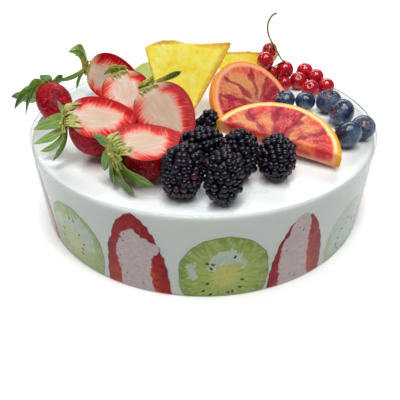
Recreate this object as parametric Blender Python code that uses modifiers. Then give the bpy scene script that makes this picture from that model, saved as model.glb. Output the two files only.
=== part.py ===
"""Fruit semifreddo: a low round frozen cream cake in a clear collar, with slices of strawberry and
kiwifruit set into its wall and a heap of cut and whole fruit on its top.

Millimetres below are turned to metres by MM. The origin is on the cake's axis at its base, +Z is up and
the front is at -Y. An angle on the wall runs from the front, positive towards +X.
"""

import math
import random

import bmesh
import bpy
from mathutils import Matrix, Vector

MM = 0.001
GAP = 0.3  # between pieces that touch
SEAM = 0.02  # points closer than this are one, where a pocket meets a corner of the wall

# The cake and its collar
COLLAR_RADIUS = 100.0
COLLAR_WALL = 0.4
COLLAR_TOP = 50.0
COLLAR_FOOT = 0.5
CREAM_RADIUS = COLLAR_RADIUS - COLLAR_WALL - GAP
CREAM_TOP = 48.5
WALL_FACETS = 60

# The slices in the wall
SLICE_DEPTH = 2.5
SLICE_FOOT = 0.4
SLICE_PAIRS = 8
SLICE_PITCH = 360.0 / (2 * SLICE_PAIRS)
FIRST_SLICE = -17.5
SLICE_POINTS = 7
# Of the slices in front: the angle from the even pitch, the half width, and the height or the
# centre's height
BERRY_SLICES = {0: (-0.4, 18.3, 47.4), 1: (0.0, 15.6, 44.5), 7: (-0.5, 16.0, 44.0)}
KIWI_SLICES = {0: (0.6, 20.6, 15.5), 1: (-0.5, 19.0, 13.5), 7: (-1.5, 20.5, 16.5)}

# The toppings stand this high, a hair above the cream
REST = CREAM_TOP + GAP

COLOURS = {
    "cream": (0.93, 0.93, 0.90),
    "collar": (0.85, 0.88, 0.90),
    "berry_slice": (0.62, 0.25, 0.24),
    "kiwi_flesh": (0.42, 0.50, 0.20),
    "strawberry": (0.60, 0.05, 0.06),
    "leaf": (0.16, 0.30, 0.06),
    "bramble": (0.03, 0.02, 0.04),
    "blueberry": (0.05, 0.08, 0.15),
    "currant": (0.55, 0.01, 0.03),
    "stem": (0.35, 0.33, 0.12),
    "pineapple": (0.90, 0.72, 0.10),
    "citrus": (0.80, 0.35, 0.12),
}


def clear_scene():
    for thing in list(bpy.data.objects):
        bpy.data.objects.remove(thing, do_unlink=True)


def new_collection(name):
    collection = bpy.data.collections.new(name)
    bpy.context.scene.collection.children.link(collection)
    return collection


def material(name, roughness=0.4):
    """The plain material of a piece, made once for each name."""
    found = bpy.data.materials.get(name)
    if found:
        return found
    made = bpy.data.materials.new(name)
    made.use_nodes = True
    shader = made.node_tree.nodes["Principled BSDF"]
    shader.inputs["Base Color"].default_value = (*COLOURS[name], 1.0)
    shader.inputs["Roughness"].default_value = roughness
    shader.inputs["Metallic"].default_value = 0.0
    made.diffuse_color = (*COLOURS[name], 1.0)
    return made


def add_mesh(name, bm, finish, collection, smooth=True):
    """The mesh, built in millimetres, as an object in metres."""
    bmesh.ops.recalc_face_normals(bm, faces=bm.faces)
    if bm.calc_volume(signed=True) < 0.0:
        bmesh.ops.reverse_faces(bm, faces=bm.faces)
    bmesh.ops.scale(bm, vec=(MM, MM, MM), verts=bm.verts)
    mesh = bpy.data.meshes.new(name)
    bm.to_mesh(mesh)
    bm.free()
    if smooth:
        mesh.shade_smooth()
        mesh.set_sharp_from_angle(angle=math.radians(40.0))
    mesh.materials.append(material(finish))
    piece = bpy.data.objects.new(name, mesh)
    collection.objects.link(piece)
    return piece


def hide(cutter):
    cutter.hide_render = True
    cutter.display_type = "WIRE"


def berry_frame(place, azimuth, rise, roll):
    """The matrix of a fruit whose own +X runs from its leaf end to its tip and whose cut face is +Z.

    The azimuth runs from +X towards +Y, the rise is up from level, and the roll turns it about +X.
    """
    turn = (
        Matrix.Rotation(math.radians(azimuth), 4, "Z")
        @ Matrix.Rotation(math.radians(-rise), 4, "Y")
        @ Matrix.Rotation(math.radians(roll), 4, "X")
    )
    return Matrix.Translation(Vector(place)) @ turn


def place_in_metres(piece, frame):
    frame = frame.copy()
    frame.translation = frame.translation * MM
    piece.matrix_world = frame


# The cake


def wall_point(arc, radius, height):
    """A point on the faceted wall, from the length along the wall at the cream's radius."""
    step = 2.0 * math.pi / WALL_FACETS
    facets = arc / CREAM_RADIUS / step
    first = math.floor(facets)
    share = facets - first
    before, after = first * step, (first + 1) * step
    across = (1.0 - share) * math.sin(before) + share * math.sin(after)
    forward = (1.0 - share) * math.cos(before) + share * math.cos(after)
    return Vector((radius * across, -radius * forward, height))


def wall_slab(outline, inner, outer):
    """A slab that follows the wall from one radius to another, with its outline in arc and height."""
    bm = bmesh.new()
    bm.faces.new([bm.verts.new((arc, height, 0.0)) for arc, height in outline])
    step = 2.0 * math.pi / WALL_FACETS * CREAM_RADIUS
    arcs = [arc for arc, _ in outline]
    for line in range(math.ceil(min(arcs) / step), math.floor(max(arcs) / step) + 1):
        everything = bm.verts[:] + bm.edges[:] + bm.faces[:]
        bmesh.ops.bisect_plane(
            bm, geom=everything, dist=1e-4, plane_co=(line * step, 0.0, 0.0), plane_no=(1.0, 0.0, 0.0)
        )
    bmesh.ops.triangulate(bm, faces=bm.faces)
    front = bm.verts[:]
    rim = [edge for edge in bm.edges if edge.is_boundary]
    twin = bmesh.ops.duplicate(bm, geom=bm.verts[:] + bm.edges[:] + bm.faces[:])["vert_map"]
    for edge in rim:
        start, end = edge.verts
        bm.faces.new((start, end, twin[end], twin[start]))
    for vert in front:
        arc, height, _ = vert.co
        twin[vert].co = wall_point(arc, inner, height)
        vert.co = wall_point(arc, outer, height)
    return bm


def berry_outline(middle, half_width, height, foot, spare=0.0):
    """A strawberry slice stood on its wide end, an egg with a narrow top that is cut flat at the foot."""
    half_width, height = half_width + spare, height + spare
    rises = [1.0 - (1.0 - step / SLICE_POINTS) ** 1.6 for step in range(1, SLICE_POINTS)]
    right = [(middle + half_width, foot)]
    right += [(middle + half_width * (1.0 - up**1.9) ** 0.75, up * height) for up in rises]
    left = [(2.0 * middle - arc, up) for arc, up in reversed(right)]
    return [*right, (middle, height), *left]


def kiwi_outline(middle, radius, centre, foot, spare=0.0):
    """A round slice with its lower half nearly straight down to the foot."""
    below = [(centre - SLICE_FOOT) * share for share in (0.95, 0.5)]
    right = [(radius * (1.0 - (down / radius) ** 4) ** 0.25 + spare, centre - down) for down in below]
    right.insert(0, (right[0][0], foot))
    for step in range(SLICE_POINTS // 2 + 1):
        turn = math.pi / 2.0 * step / (SLICE_POINTS // 2 + 1)
        right.append(((radius + spare) * math.cos(turn), centre + (radius + spare) * math.sin(turn)))
    left = [(middle - arc, up) for arc, up in reversed(right)]
    return [*((middle + arc, up) for arc, up in right), (middle, centre + radius + spare), *left]


def wall_slices(cakes, cutters):
    """The slices round the wall, berry and kiwi in turn, and the cutters of their pockets."""
    draw = random.Random(4)
    for pair in range(SLICE_PAIRS):
        drawn_berry = (0.0, draw.uniform(15.5, 18.0), draw.uniform(42.0, 47.0))
        drawn_kiwi = (0.0, draw.uniform(19.0, 20.5), draw.uniform(13.0, 16.0))
        for kind, finish, outline, (nudge, *sizes), place in (
            ("berry", "berry_slice", berry_outline, BERRY_SLICES.get(pair, drawn_berry), 2 * pair),
            ("kiwi", "kiwi_flesh", kiwi_outline, KIWI_SLICES.get(pair, drawn_kiwi), 2 * pair + 1),
        ):
            arc = math.radians(FIRST_SLICE + place * SLICE_PITCH + nudge) * CREAM_RADIUS
            back = CREAM_RADIUS - SLICE_DEPTH
            slab = wall_slab(outline(arc, *sizes, SLICE_FOOT), back, CREAM_RADIUS)
            add_mesh(f"wall_{kind}_{pair + 1}", slab, finish, cakes)
            pocket = wall_slab(outline(arc, *sizes, -2.0, GAP), back - GAP, CREAM_RADIUS + 2.0)
            hide(add_mesh(f"pocket_{kind}_{pair + 1}", pocket, "cream", cutters))


def cake_body(cakes, cutters):
    bm = bmesh.new()
    bmesh.ops.create_cone(
        bm,
        cap_ends=True,
        segments=WALL_FACETS,
        radius1=CREAM_RADIUS,
        radius2=CREAM_RADIUS,
        depth=CREAM_TOP,
        matrix=Matrix.Translation((0.0, 0.0, CREAM_TOP / 2.0)),
    )
    body = add_mesh("semifreddo", bm, "cream", cakes)
    pockets = body.modifiers.new("pockets", "BOOLEAN")
    pockets.operation = "DIFFERENCE"
    pockets.operand_type = "COLLECTION"
    pockets.collection = cutters
    seams = body.modifiers.new("seams", "WELD")
    seams.merge_threshold = SEAM * MM


def collar(cakes):
    """The clear film round the cake, standing a little proud of the cream."""
    bm = bmesh.new()
    bmesh.ops.create_circle(bm, segments=WALL_FACETS, radius=COLLAR_RADIUS)
    rim = bm.edges[:]
    made = bmesh.ops.extrude_edge_only(bm, edges=rim)["geom"]
    for vert in bm.verts:
        vert.co.z = COLLAR_FOOT
    for vert in (item for item in made if isinstance(item, bmesh.types.BMVert)):
        vert.co.z = COLLAR_TOP
    film = add_mesh("acetate_collar", bm, "collar", cakes)
    wall = film.modifiers.new("wall", "SOLIDIFY")
    wall.thickness = COLLAR_WALL * MM
    wall.offset = -1.0
    wall.use_even_offset = True


# Strawberries


class Berry:
    """A strawberry: the place of its leaf end, how it lies, its size and its cut's height above its middle.

    Its leaves are given by their tips and their widths, and a whole berry has no cut.
    """

    def __init__(self, place, azimuth, rise, roll, length, width, thickness, cut, leaves):
        self.frame = berry_frame(place, azimuth, rise, roll)
        self.length = length
        self.width = width
        self.thickness = thickness
        self.cut = cut
        self.leaves = leaves


STRAWBERRIES = [
    Berry(
        (-91.5, 5, 64.2), -62, -24, 6, 30.0, 20.0, 19.5, None,
        [
            ((-116, 8, 58), 6), ((-108, -8, 57), 5.5), ((-101, -14, 55), 5),
            ((-96, 7, 71.5), 4), ((-84, 12, 70), 4.5), ((-99, 20, 62), 5),
        ],
    ),
    Berry(
        (-74, 33, 66.8), -20, -14, 68, 40.0, 28.5, 30.0, 0.0,
        [((-84, 26, 85), 5.5), ((-92, 19, 66), 5), ((-86, 20, 57), 4.5), ((-86, 42, 74), 5)],
    ),
    Berry(
        (-50, 12, 71.4), -66, -29, 12, 35.0, 28.0, 25.0, 0.0,
        [((-57, 11, 76), 4.5), ((-62, 11, 71), 4.5), ((-43, 15, 74), 4.5)],
    ),
    Berry(
        (-64, -51.8, 72.5), 15, -8, 17, 35.0, 32.0, 31.0, 5.0,
        [
            ((-72, -40, 75), 5), ((-86, -43, 61), 5), ((-86, -48, 55), 5),
            ((-83, -53, 51), 5), ((-73, -62, 52), 6.5),
        ],
    ),
    Berry(
        (-30, -15, 72.5), -49, -30, 22, 40.0, 31.0, 28.0, 0.0,
        [((-12.5, -11, 78), 5), ((-36, -6, 74), 4), ((-26, -2, 75), 4.5), ((-28, 0.5, 69), 4.5)],
    ),
    Berry(
        (-37.9, -74.2, 68), 33, -3, 7, 32.0, 31.0, 31.0, 3.0,
        [
            ((-49, -70, 72), 5), ((-48, -76, 57), 6), ((-42, -83, 50.5), 5),
            ((-32, -90, 50.5), 7), ((-21, -89, 54), 5),
        ],
    ),
]
SHOULDER = 0.42
TAPER = 0.72
LEAF_THICKNESS = 0.7
LEAF_HUB = 3.4  # radius of the disc that the leaves grow from
LEAF_CLEAR = 1.6  # how far that disc stands off the berry


def berry_radius(share):
    """The half width of a strawberry as a share of its largest, along its length from leaf to tip."""
    widest = SHOULDER / (SHOULDER + TAPER)
    most = widest**SHOULDER * (1.0 - widest) ** TAPER
    return share**SHOULDER * (1.0 - share) ** TAPER / most


def strawberry(name, berry, cakes):
    bm = bmesh.new()
    bmesh.ops.create_uvsphere(bm, u_segments=14, v_segments=10, radius=1.0)
    drop = berry.cut or 0.0
    for vert in bm.verts:
        along = (1.0 - vert.co.z) / 2.0
        across = math.hypot(vert.co.x, vert.co.y)
        reach = berry_radius(along) / across if across > 1e-6 else 0.0
        side, up = vert.co.x * reach, vert.co.y * reach
        vert.co = (berry.length * along, side * berry.width / 2.0, up * berry.thickness / 2.0 - drop)
    if berry.cut is not None:
        everything = bm.verts[:] + bm.edges[:] + bm.faces[:]
        bmesh.ops.bisect_plane(
            bm, geom=everything, dist=1e-3, plane_co=(0, 0, 0), plane_no=(0, 0, 1), clear_outer=True
        )
        bmesh.ops.holes_fill(bm, edges=[edge for edge in bm.edges if edge.is_boundary], sides=0)
    place_in_metres(add_mesh(name, bm, "strawberry", cakes), berry.frame)


def leaf_path(start, out, tip, share):
    """A point on a leaf's middle line, which leaves the hub outwards and bends to its tip."""
    bend = start + out * (0.55 * (tip - start).length)
    return (1.0 - share) ** 2 * start + 2.0 * share * (1.0 - share) * bend + share**2 * tip


def berry_leaves(name, berry, cakes):
    """The green cap of a strawberry: pointed wavy leaves that grow from one small disc."""
    back = -berry.frame.to_3x3().col[0]
    side, up = berry.frame.to_3x3().col[1], berry.frame.to_3x3().col[2]
    centre = berry.frame.translation + back * LEAF_CLEAR - up * (berry.cut or 0.0)

    def turn_of(leaf):
        towards = Vector(leaf[0]) - centre
        return math.atan2(towards.dot(up), towards.dot(side))

    leaves = sorted(berry.leaves, key=turn_of)
    widest_gap, first = max(
        ((turn_of(leaves[index]) - turn_of(leaves[index - 1])) % (2.0 * math.pi), index)
        for index in range(len(leaves))
    )
    leaves = leaves[first:] + leaves[:first]
    spread = 2.0 * math.pi - widest_gap
    slot = min(spread / max(len(leaves) - 1, 1), math.radians(60.0))
    middle = turn_of(leaves[0]) + spread / 2.0
    bm = bmesh.new()
    hub = bm.verts.new(centre)
    ring = []
    for index, (tip, width) in enumerate(leaves):
        angle = middle + (index - (len(leaves) - 1) / 2.0) * slot
        out = side * math.cos(angle) + up * math.sin(angle)
        tip = Vector(tip)
        across = (tip - centre).cross(back).normalized()
        if across.dot(side * -math.sin(angle) + up * math.cos(angle)) < 0.0:
            across = -across
        rows = []
        for share, part in ((0.0, 0.4), (0.4, 1.0), (0.72, 0.7)):
            point = leaf_path(centre + out * LEAF_HUB, out, tip, share)
            half = across * (width / 2.0 * part)
            fold = back * (0.12 * width * part)
            wave = back * (0.1 * width * (1 if share == 0.4 else -1) * (share > 0.0))
            places = (point - half + fold + wave, point - fold, point + half + fold - wave)
            rows.append([bm.verts.new(place) for place in places])
        for near, far in zip(rows, rows[1:]):
            for one, two in ((0, 1), (1, 2)):
                bm.faces.new((near[one], near[two], far[two], far[one]))
        point = bm.verts.new(tip)
        bm.faces.new((rows[-1][0], rows[-1][1], point))
        bm.faces.new((rows[-1][1], rows[-1][2], point))
        ring.extend(rows[0])
    closed = len(leaves) * slot > math.radians(300.0)
    for start, end in zip(ring, ring[1:] + ring[:1] if closed else ring[1:]):
        bm.faces.new((hub, start, end))
    bmesh.ops.triangulate(bm, faces=bm.faces)
    bmesh.ops.recalc_face_normals(bm, faces=bm.faces)
    bmesh.ops.scale(bm, vec=(MM, MM, MM), verts=bm.verts)
    mesh = bpy.data.meshes.new(name)
    bm.to_mesh(mesh)
    bm.free()
    mesh.materials.append(material("leaf"))
    piece = bpy.data.objects.new(name, mesh)
    cakes.objects.link(piece)
    skin = piece.modifiers.new("thickness", "SOLIDIFY")
    skin.thickness = LEAF_THICKNESS * MM
    skin.offset = 0.0


# Whole small fruit


BRAMBLES = [
    # place of the middle, azimuth and rise of its length, length, width
    ((1.8, -31.2, 57.6), 20, 60, 17.6, 11.6),
    ((-0.9, -55.3, 57.8), 5, 5, 23.0, 17.5),
    ((16.0, -67.5, 60.0), 80, 60, 23.5, 17.5),
    ((33.6, -66.5, 58.4), -100, -16, 23.0, 17.5),
    ((-9.4, -82.6, 60.8), 70, 72, 24.0, 18.4),
    ((8.0, -86.3, 60.1), 75, 62, 22.8, 16.6),
]
DRUPELETS_ROUND = 9
DRUPELET_ROWS = 7
DRUPELET_RELIEF = 0.45

BLUEBERRIES = [
    # place of the middle, azimuth and rise of its crown, width
    ((50.3, 7.7, 55.0), 200, 50, 12.8),
    ((62.7, 7.0, 54.9), 60, 65, 12.4),
    ((76.5, 5.0, 55.4), 230, 60, 15.0),
    ((79.0, -13.0, 56.3), 200, 15, 15.2),
    ((75.0, -39.5, 55.9), 120, 20, 14.8),
    ((86.0, -30.0, 55.3), 265, 48, 13.2),
    ((50.7, -20.0, 55.6), 90, 30, 14.6),
]

CURRANTS = [
    # place of the middle, width
    ((45.3, 50.5, 72.8), 9.4),
    ((46.6, 44.6, 59.8), 8.2),
    ((41.6, 41.0, 69.1), 10.4),
    ((56.2, 46.6, 60.8), 10.8),
    ((55.4, 39.8, 53.8), 9.2),
    ((71.5, 53.0, 57.6), 10.6),
    ((65.8, 44.2, 54.2), 10.8),
    ((77.4, 44.5, 56.4), 10.2),
    ((70.8, 29.2, 54.2), 10.8),
    ((82.4, 33.8, 53.9), 10.0),
    ((51.0, 57.0, 54.0), 9.8),
]
# The currants' stalk from its dry end down to the bunch
STALK = [
    (46.8, 46.0, 97.0), (44.3, 46.0, 95.8), (42.2, 46.2, 92.0), (42.0, 46.6, 88.0), (43.2, 47.4, 83.5),
    (46.0, 47.0, 78.6), (49.6, 44.4, 73.4), (52.6, 43.6, 69.0), (55.0, 44.8, 67.0),
]
STALK_WIDTH = 1.3


def aim(place, azimuth, rise):
    """The matrix that stands a fruit's own +Z along an azimuth from +X and a rise from level."""
    turn = Matrix.Rotation(math.radians(azimuth), 4, "Z") @ Matrix.Rotation(
        math.radians(90.0 - rise), 4, "Y"
    )
    return Matrix.Translation(Vector(place)) @ turn


def bramble(name, place, azimuth, rise, length, width, cakes):
    """A bramble berry: a blunt egg with a drupelet raised at every second point of every second ring."""
    bm = bmesh.new()
    bmesh.ops.create_uvsphere(
        bm, u_segments=2 * DRUPELETS_ROUND, v_segments=2 * DRUPELET_ROWS + 1, radius=1.0
    )
    for vert in bm.verts:
        turn = round(math.atan2(vert.co.y, vert.co.x) / math.pi * DRUPELETS_ROUND)
        ring = round(math.acos(max(-1.0, min(1.0, vert.co.z))) / math.pi * (2 * DRUPELET_ROWS + 1))
        at_pole = abs(vert.co.z) > 0.999
        raised = not at_pole and ring % 2 == 1 and (turn + ring // 2) % 2 == 0
        blunt = (1.0 - abs(vert.co.z) ** 2.6) ** 0.5 if not at_pole else 0.0
        around = math.hypot(vert.co.x, vert.co.y)
        spread = blunt / around if around > 1e-6 else 0.0
        middle = Vector(
            (
                vert.co.x * spread * (width / 2.0 - DRUPELET_RELIEF),
                vert.co.y * spread * (width / 2.0 - DRUPELET_RELIEF),
                vert.co.z * (length / 2.0 - DRUPELET_RELIEF),
            )
        )
        lift = DRUPELET_RELIEF if raised else -DRUPELET_RELIEF
        vert.co = middle + middle.normalized() * lift
    place_in_metres(add_mesh(name, bm, "bramble", cakes, smooth=False), aim(place, azimuth, rise))


def blueberry(name, place, azimuth, rise, width, cakes):
    """A round berry, a little flat, with a five-pointed crown round a small pit."""
    bm = bmesh.new()
    bmesh.ops.create_uvsphere(bm, u_segments=10, v_segments=8, radius=width / 2.0)
    top = width / 2.0
    for vert in bm.verts:
        near_crown = vert.co.z / top
        if near_crown > 0.999:
            vert.co.z -= 1.9
        elif near_crown > 0.9:
            point = round(math.atan2(vert.co.y, vert.co.x) / math.pi * 5.0) % 2 == 0
            vert.co.z += 0.7 if point else 0.0
        vert.co.z *= 0.86
    place_in_metres(add_mesh(name, bm, "blueberry", cakes), aim(place, azimuth, rise))


def currant(name, place, width, cakes):
    bm = bmesh.new()
    bmesh.ops.create_icosphere(bm, subdivisions=2, radius=width / 2.0)
    place_in_metres(add_mesh(name, bm, "currant", cakes), Matrix.Translation(Vector(place)))


def stalk(name, cakes):
    curve = bpy.data.curves.new(name, "CURVE")
    curve.dimensions = "3D"
    curve.bevel_depth = STALK_WIDTH * MM / 2.0
    curve.bevel_resolution = 1
    curve.use_fill_caps = True
    spline = curve.splines.new("POLY")
    spline.points.add(len(STALK) - 1)
    for point, place in zip(spline.points, STALK):
        point.co = (*(Vector(place) * MM), 1.0)
    curve.materials.append(material("stem"))
    cakes.objects.link(bpy.data.objects.new(name, curve))


# Cut fruit with flat sides, each an outline given a thickness


def cut_slab(name, outline, thickness, frame, finish, cakes):
    """A closed outline in its own XY plane, thick to both sides of that plane."""
    curve = bpy.data.curves.new(name, "CURVE")
    curve.dimensions = "2D"
    curve.fill_mode = "BOTH"
    curve.extrude = thickness * MM / 2.0
    spline = curve.splines.new("POLY")
    spline.points.add(len(outline) - 1)
    for point, (across, up) in zip(spline.points, outline):
        point.co = (across * MM, up * MM, 0.0, 1.0)
    spline.use_cyclic_u = True
    curve.materials.append(material(finish))
    slab = bpy.data.objects.new(name, curve)
    cakes.objects.link(slab)
    place_in_metres(slab, frame)


def facing(place, azimuth, rise, spin):
    """The matrix of a slab whose face looks along an azimuth from the front and a rise from level."""
    turn = (
        Matrix.Rotation(math.radians(azimuth), 4, "Z")
        @ Matrix.Rotation(math.radians(90.0 - rise), 4, "X")
        @ Matrix.Rotation(math.radians(spin), 4, "Z")
    )
    return Matrix.Translation(Vector(place)) @ turn


CITRUS_RADIUS = 33.3
CITRUS_POINTS = 24


def citrus_outline(radius, cut):
    """The part of a round slice on the upper side of a straight cut."""
    start = math.asin(cut / radius)
    sweep = math.pi - 2.0 * start
    turns = [start + sweep * step / CITRUS_POINTS for step in range(CITRUS_POINTS + 1)]
    return [(radius * math.cos(turn), radius * math.sin(turn)) for turn in turns]


def pineapple_outline(half_foot, half_top, height, bulge, spare, draw):
    """A wedge of pineapple on its narrow end, its wide end a little round and uneven.

    Its left side stands out by the spare width.
    """
    steps = 9
    top = []
    for step in range(steps + 1):
        across = 1.0 - 2.0 * step / steps
        rise = bulge * (1.0 - across**2) + draw.uniform(-0.5, 0.5)
        top.append((half_top * across, height - bulge + rise))
    side = half_foot + 0.45 * (half_top - half_foot)
    return [(half_foot, 0.0), (side, height * 0.42), *top, (-side - spare, height * 0.42), (-half_foot, 0.0)]


def half_round(radius, steps, squash):
    turns = [math.pi * step / steps for step in range(steps + 1)]
    return [(radius * math.cos(turn), squash * radius * math.sin(turn)) for turn in turns]


def cut_fruit(cakes):
    draw = random.Random(7)
    cut_slab(
        "citrus_slice_1",
        citrus_outline(29.5, -3.0),
        5.0,
        facing((31.6, 1.9, 54.5), 40.8, 43.9, 0.0) @ Matrix.Translation((0, 0, -2.5)),
        "citrus",
        cakes,
    )
    cut_slab(
        "citrus_slice_2",
        citrus_outline(CITRUS_RADIUS, 6.0),
        9.0,
        facing((32.5, -56.0, 58.9), -11.5, 73.2, -16.2) @ Matrix.Translation((0, 0, -4.5)),
        "citrus",
        cakes,
    )
    cut_slab(
        "pineapple_1",
        pineapple_outline(3.5, 25.5, 39.5, 2.0, 7.0, draw),
        10.0,
        facing((-8.5, -2.7, 53.8), 0.0, 28.0, 0.0) @ Matrix.Translation((0, 0, -5.0)),
        "pineapple",
        cakes,
    )
    cut_slab(
        "pineapple_2",
        pineapple_outline(12.0, 24.0, 19.5, 1.5, 0.0, draw),
        10.0,
        facing((29.5, 51.0, 51.9), 0.0, 16.0, 0.0) @ Matrix.Translation((0, 0, -5.0)),
        "pineapple",
        cakes,
    )
    cut_slab(
        "kiwi_piece",
        half_round(17.0, 12, 1.0),
        8.0,
        facing((-33.5, 39.5, 51.6), 0.0, 18.0, 0.0) @ Matrix.Translation((0, 0.0, -4.0)),
        "kiwi_flesh",
        cakes,
    )


def main():
    clear_scene()
    cakes = new_collection("fruit_semifreddo")
    cutters = new_collection("cutters")
    wall_slices(cakes, cutters)
    cake_body(cakes, cutters)
    collar(cakes)
    for number, berry in enumerate(STRAWBERRIES, 1):
        strawberry(f"strawberry_{number}", berry, cakes)
        berry_leaves(f"strawberry_leaves_{number}", berry, cakes)
    for number, sizes in enumerate(BRAMBLES, 1):
        bramble(f"bramble_{number}", *sizes, cakes)
    for number, sizes in enumerate(BLUEBERRIES, 1):
        blueberry(f"blueberry_{number}", *sizes, cakes)
    for number, sizes in enumerate(CURRANTS, 1):
        currant(f"currant_{number}", *sizes, cakes)
    stalk("currant_stalk", cakes)
    cut_fruit(cakes)


main()
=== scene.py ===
"""Fruit semifreddo: the looks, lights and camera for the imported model.

Lengths are in millimetres until a mesh is made. The origin is on the cake's axis at its base, +Z is up
and the front is at -Y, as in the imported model.
"""

import math
import random
from collections import namedtuple

import bpy
import numpy as np
from mathutils import Matrix, Vector, noise


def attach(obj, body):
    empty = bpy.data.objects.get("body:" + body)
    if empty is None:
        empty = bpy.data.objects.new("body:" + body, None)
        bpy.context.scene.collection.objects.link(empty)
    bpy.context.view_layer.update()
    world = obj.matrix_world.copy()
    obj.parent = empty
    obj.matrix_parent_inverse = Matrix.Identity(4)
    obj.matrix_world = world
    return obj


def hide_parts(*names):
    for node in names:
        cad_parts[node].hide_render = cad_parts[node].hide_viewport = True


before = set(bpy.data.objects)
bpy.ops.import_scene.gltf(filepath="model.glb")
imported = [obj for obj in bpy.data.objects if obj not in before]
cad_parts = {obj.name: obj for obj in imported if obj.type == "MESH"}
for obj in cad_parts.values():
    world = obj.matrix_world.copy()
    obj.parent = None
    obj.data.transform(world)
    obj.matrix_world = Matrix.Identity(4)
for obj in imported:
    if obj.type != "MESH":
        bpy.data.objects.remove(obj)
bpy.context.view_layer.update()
MM = 0.001
TURN = 2.0 * math.pi

# Shader helpers


def rgb(red, green, blue):
    """A display colour of 0 to 255 as the linear colour that a shader takes."""
    shares = [value / 255.0 for value in (red, green, blue)]
    linear = [share / 12.92 if share <= 0.04045 else ((share + 0.055) / 1.055) ** 2.4 for share in shares]
    return (*linear, 1.0)


def put(tree, kind, inputs, **settings):
    """A new shader node, its inputs given as numbers, vectors or other nodes' values."""
    made = tree.nodes.new(kind)
    for name, value in settings.items():
        setattr(made, name, value)
    for key, value in inputs.items():
        if isinstance(value, Value):
            tree.links.new(value.socket, made.inputs[key])
        else:
            made.inputs[key].default_value = value
    return made


class Value:
    """A number, vector or colour in a shader. A sum of values adds the nodes that work it out."""

    def __init__(self, socket):
        self.socket = socket

    def put(self, kind, inputs, **settings):
        return put(self.socket.id_data, kind, inputs, **settings)

    def math(self, operation, *others):
        inputs = dict(enumerate((self, *others)))
        return Value(self.put("ShaderNodeMath", inputs, operation=operation).outputs[0])

    def __add__(self, other):
        return self.math("ADD", other)

    def __sub__(self, other):
        return self.math("SUBTRACT", other)

    def __mul__(self, other):
        return self.math("MULTIPLY", other)

    def __abs__(self):
        return self.math("ABSOLUTE")

    def between(self, low, high, first=0.0, last=1.0):
        """The value moved smoothly from one range to another."""
        inputs = {"Value": self, "From Min": low, "From Max": high, "To Min": first, "To Max": last}
        made = self.put("ShaderNodeMapRange", inputs, interpolation_type="SMOOTHSTEP")
        return Value(made.outputs["Result"])

    def blend(self, first, second):
        """One colour where this is 0 and another where it is 1."""
        inputs = {6: first, 7: second}
        inputs = {key: rgb(*value) if isinstance(value, tuple) else value for key, value in inputs.items()}
        return Value(self.put("ShaderNodeMix", {0: self, **inputs}, data_type="RGBA").outputs[2])

    def ramp(self, *stops):
        """A colour by way of these stops, each with its place and its red, green and blue."""
        made = self.put("ShaderNodeValToRGB", {"Fac": self})
        elements = made.color_ramp.elements
        while len(elements) < len(stops):
            elements.new(0.5)
        for element, (place, *colour) in zip(elements, stops):
            element.position = place
            element.color = rgb(*colour)
        return Value(made.outputs["Color"])

    def parts(self):
        return [Value(output) for output in self.put("ShaderNodeSeparateXYZ", {0: self}).outputs]

    def scaled(self, *sizes):
        return Value(self.put("ShaderNodeVectorMath", {0: self, 1: sizes}, operation="MULTIPLY").outputs[0])

    def noise(self, scale, detail=3.0, roughness=0.5, twist=0.0):
        inputs = {"Scale": scale, "Detail": detail, "Roughness": roughness, "Distortion": twist}
        return Value(self.put("ShaderNodeTexNoise", {"Vector": self, **inputs}).outputs["Fac"])

    def cells(self, scale):
        return Value(self.put("ShaderNodeTexVoronoi", {"Vector": self, "Scale": scale}).outputs["Distance"])


def spread(x, y, z=0.0):
    """A vector from three values."""
    return Value(x.put("ShaderNodeCombineXYZ", {0: x, 1: y, 2: z}).outputs[0])


class Finish:
    """One material with a Principled shader."""

    def __init__(self, name, colour=(200, 200, 200), **sockets):
        self.material = bpy.data.materials.new(name)
        self.material.use_nodes = True
        self.tree = self.material.node_tree
        self.shader = self.tree.nodes["Principled BSDF"]
        self.shader.inputs["Base Color"].default_value = rgb(*colour)
        for socket, value in sockets.items():
            self.shader.inputs[socket.replace("_", " ")].default_value = value

    def place(self):
        """Object coordinates in millimetres."""
        return Value(put(self.tree, "ShaderNodeTexCoord", {}).outputs["Object"]).scaled(*[1.0 / MM] * 3)

    def field(self, name):
        return Value(put(self.tree, "ShaderNodeAttribute", {}, attribute_name=name).outputs["Fac"])

    def plan(self):
        """The three values of a piece's own plan."""
        made = put(self.tree, "ShaderNodeAttribute", {}, attribute_name="plan")
        return Value(made.outputs["Vector"]).parts()

    def drive(self, socket, value):
        self.tree.links.new(value.socket, self.shader.inputs[socket])

    def colour(self, value):
        self.drive("Base Color", value)

    def bump(self, height, depth, strength):
        """A bump from a height of 0 to 1 that stands for a depth in millimetres."""
        inputs = {"Height": height, "Distance": depth * MM, "Strength": strength}
        self.drive("Normal", Value(put(self.tree, "ShaderNodeBump", inputs).outputs["Normal"]))

    def clear(self, tint, roughness, gain, least):
        """Clear, with only a reflection added, which gains where it is seen along its surface."""
        white = (1.0, 1.0, 1.0, 1.0)
        self.tree.nodes.remove(self.shader)
        facing = Value(put(self.tree, "ShaderNodeLayerWeight", {"Blend": 0.5}).outputs["Facing"])
        see = put(self.tree, "ShaderNodeBsdfTransparent", {"Color": tint})
        shine = put(self.tree, "ShaderNodeBsdfGlossy", {"Color": white, "Roughness": roughness})
        share = facing.math("POWER", 4.0).math("MULTIPLY_ADD", gain, least)
        inputs = {0: share, 1: Value(see.outputs[0]), 2: Value(shine.outputs[0])}
        both = put(self.tree, "ShaderNodeMixShader", inputs)
        self.tree.links.new(both.outputs[0], self.tree.nodes["Material Output"].inputs["Surface"])
        return self


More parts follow.
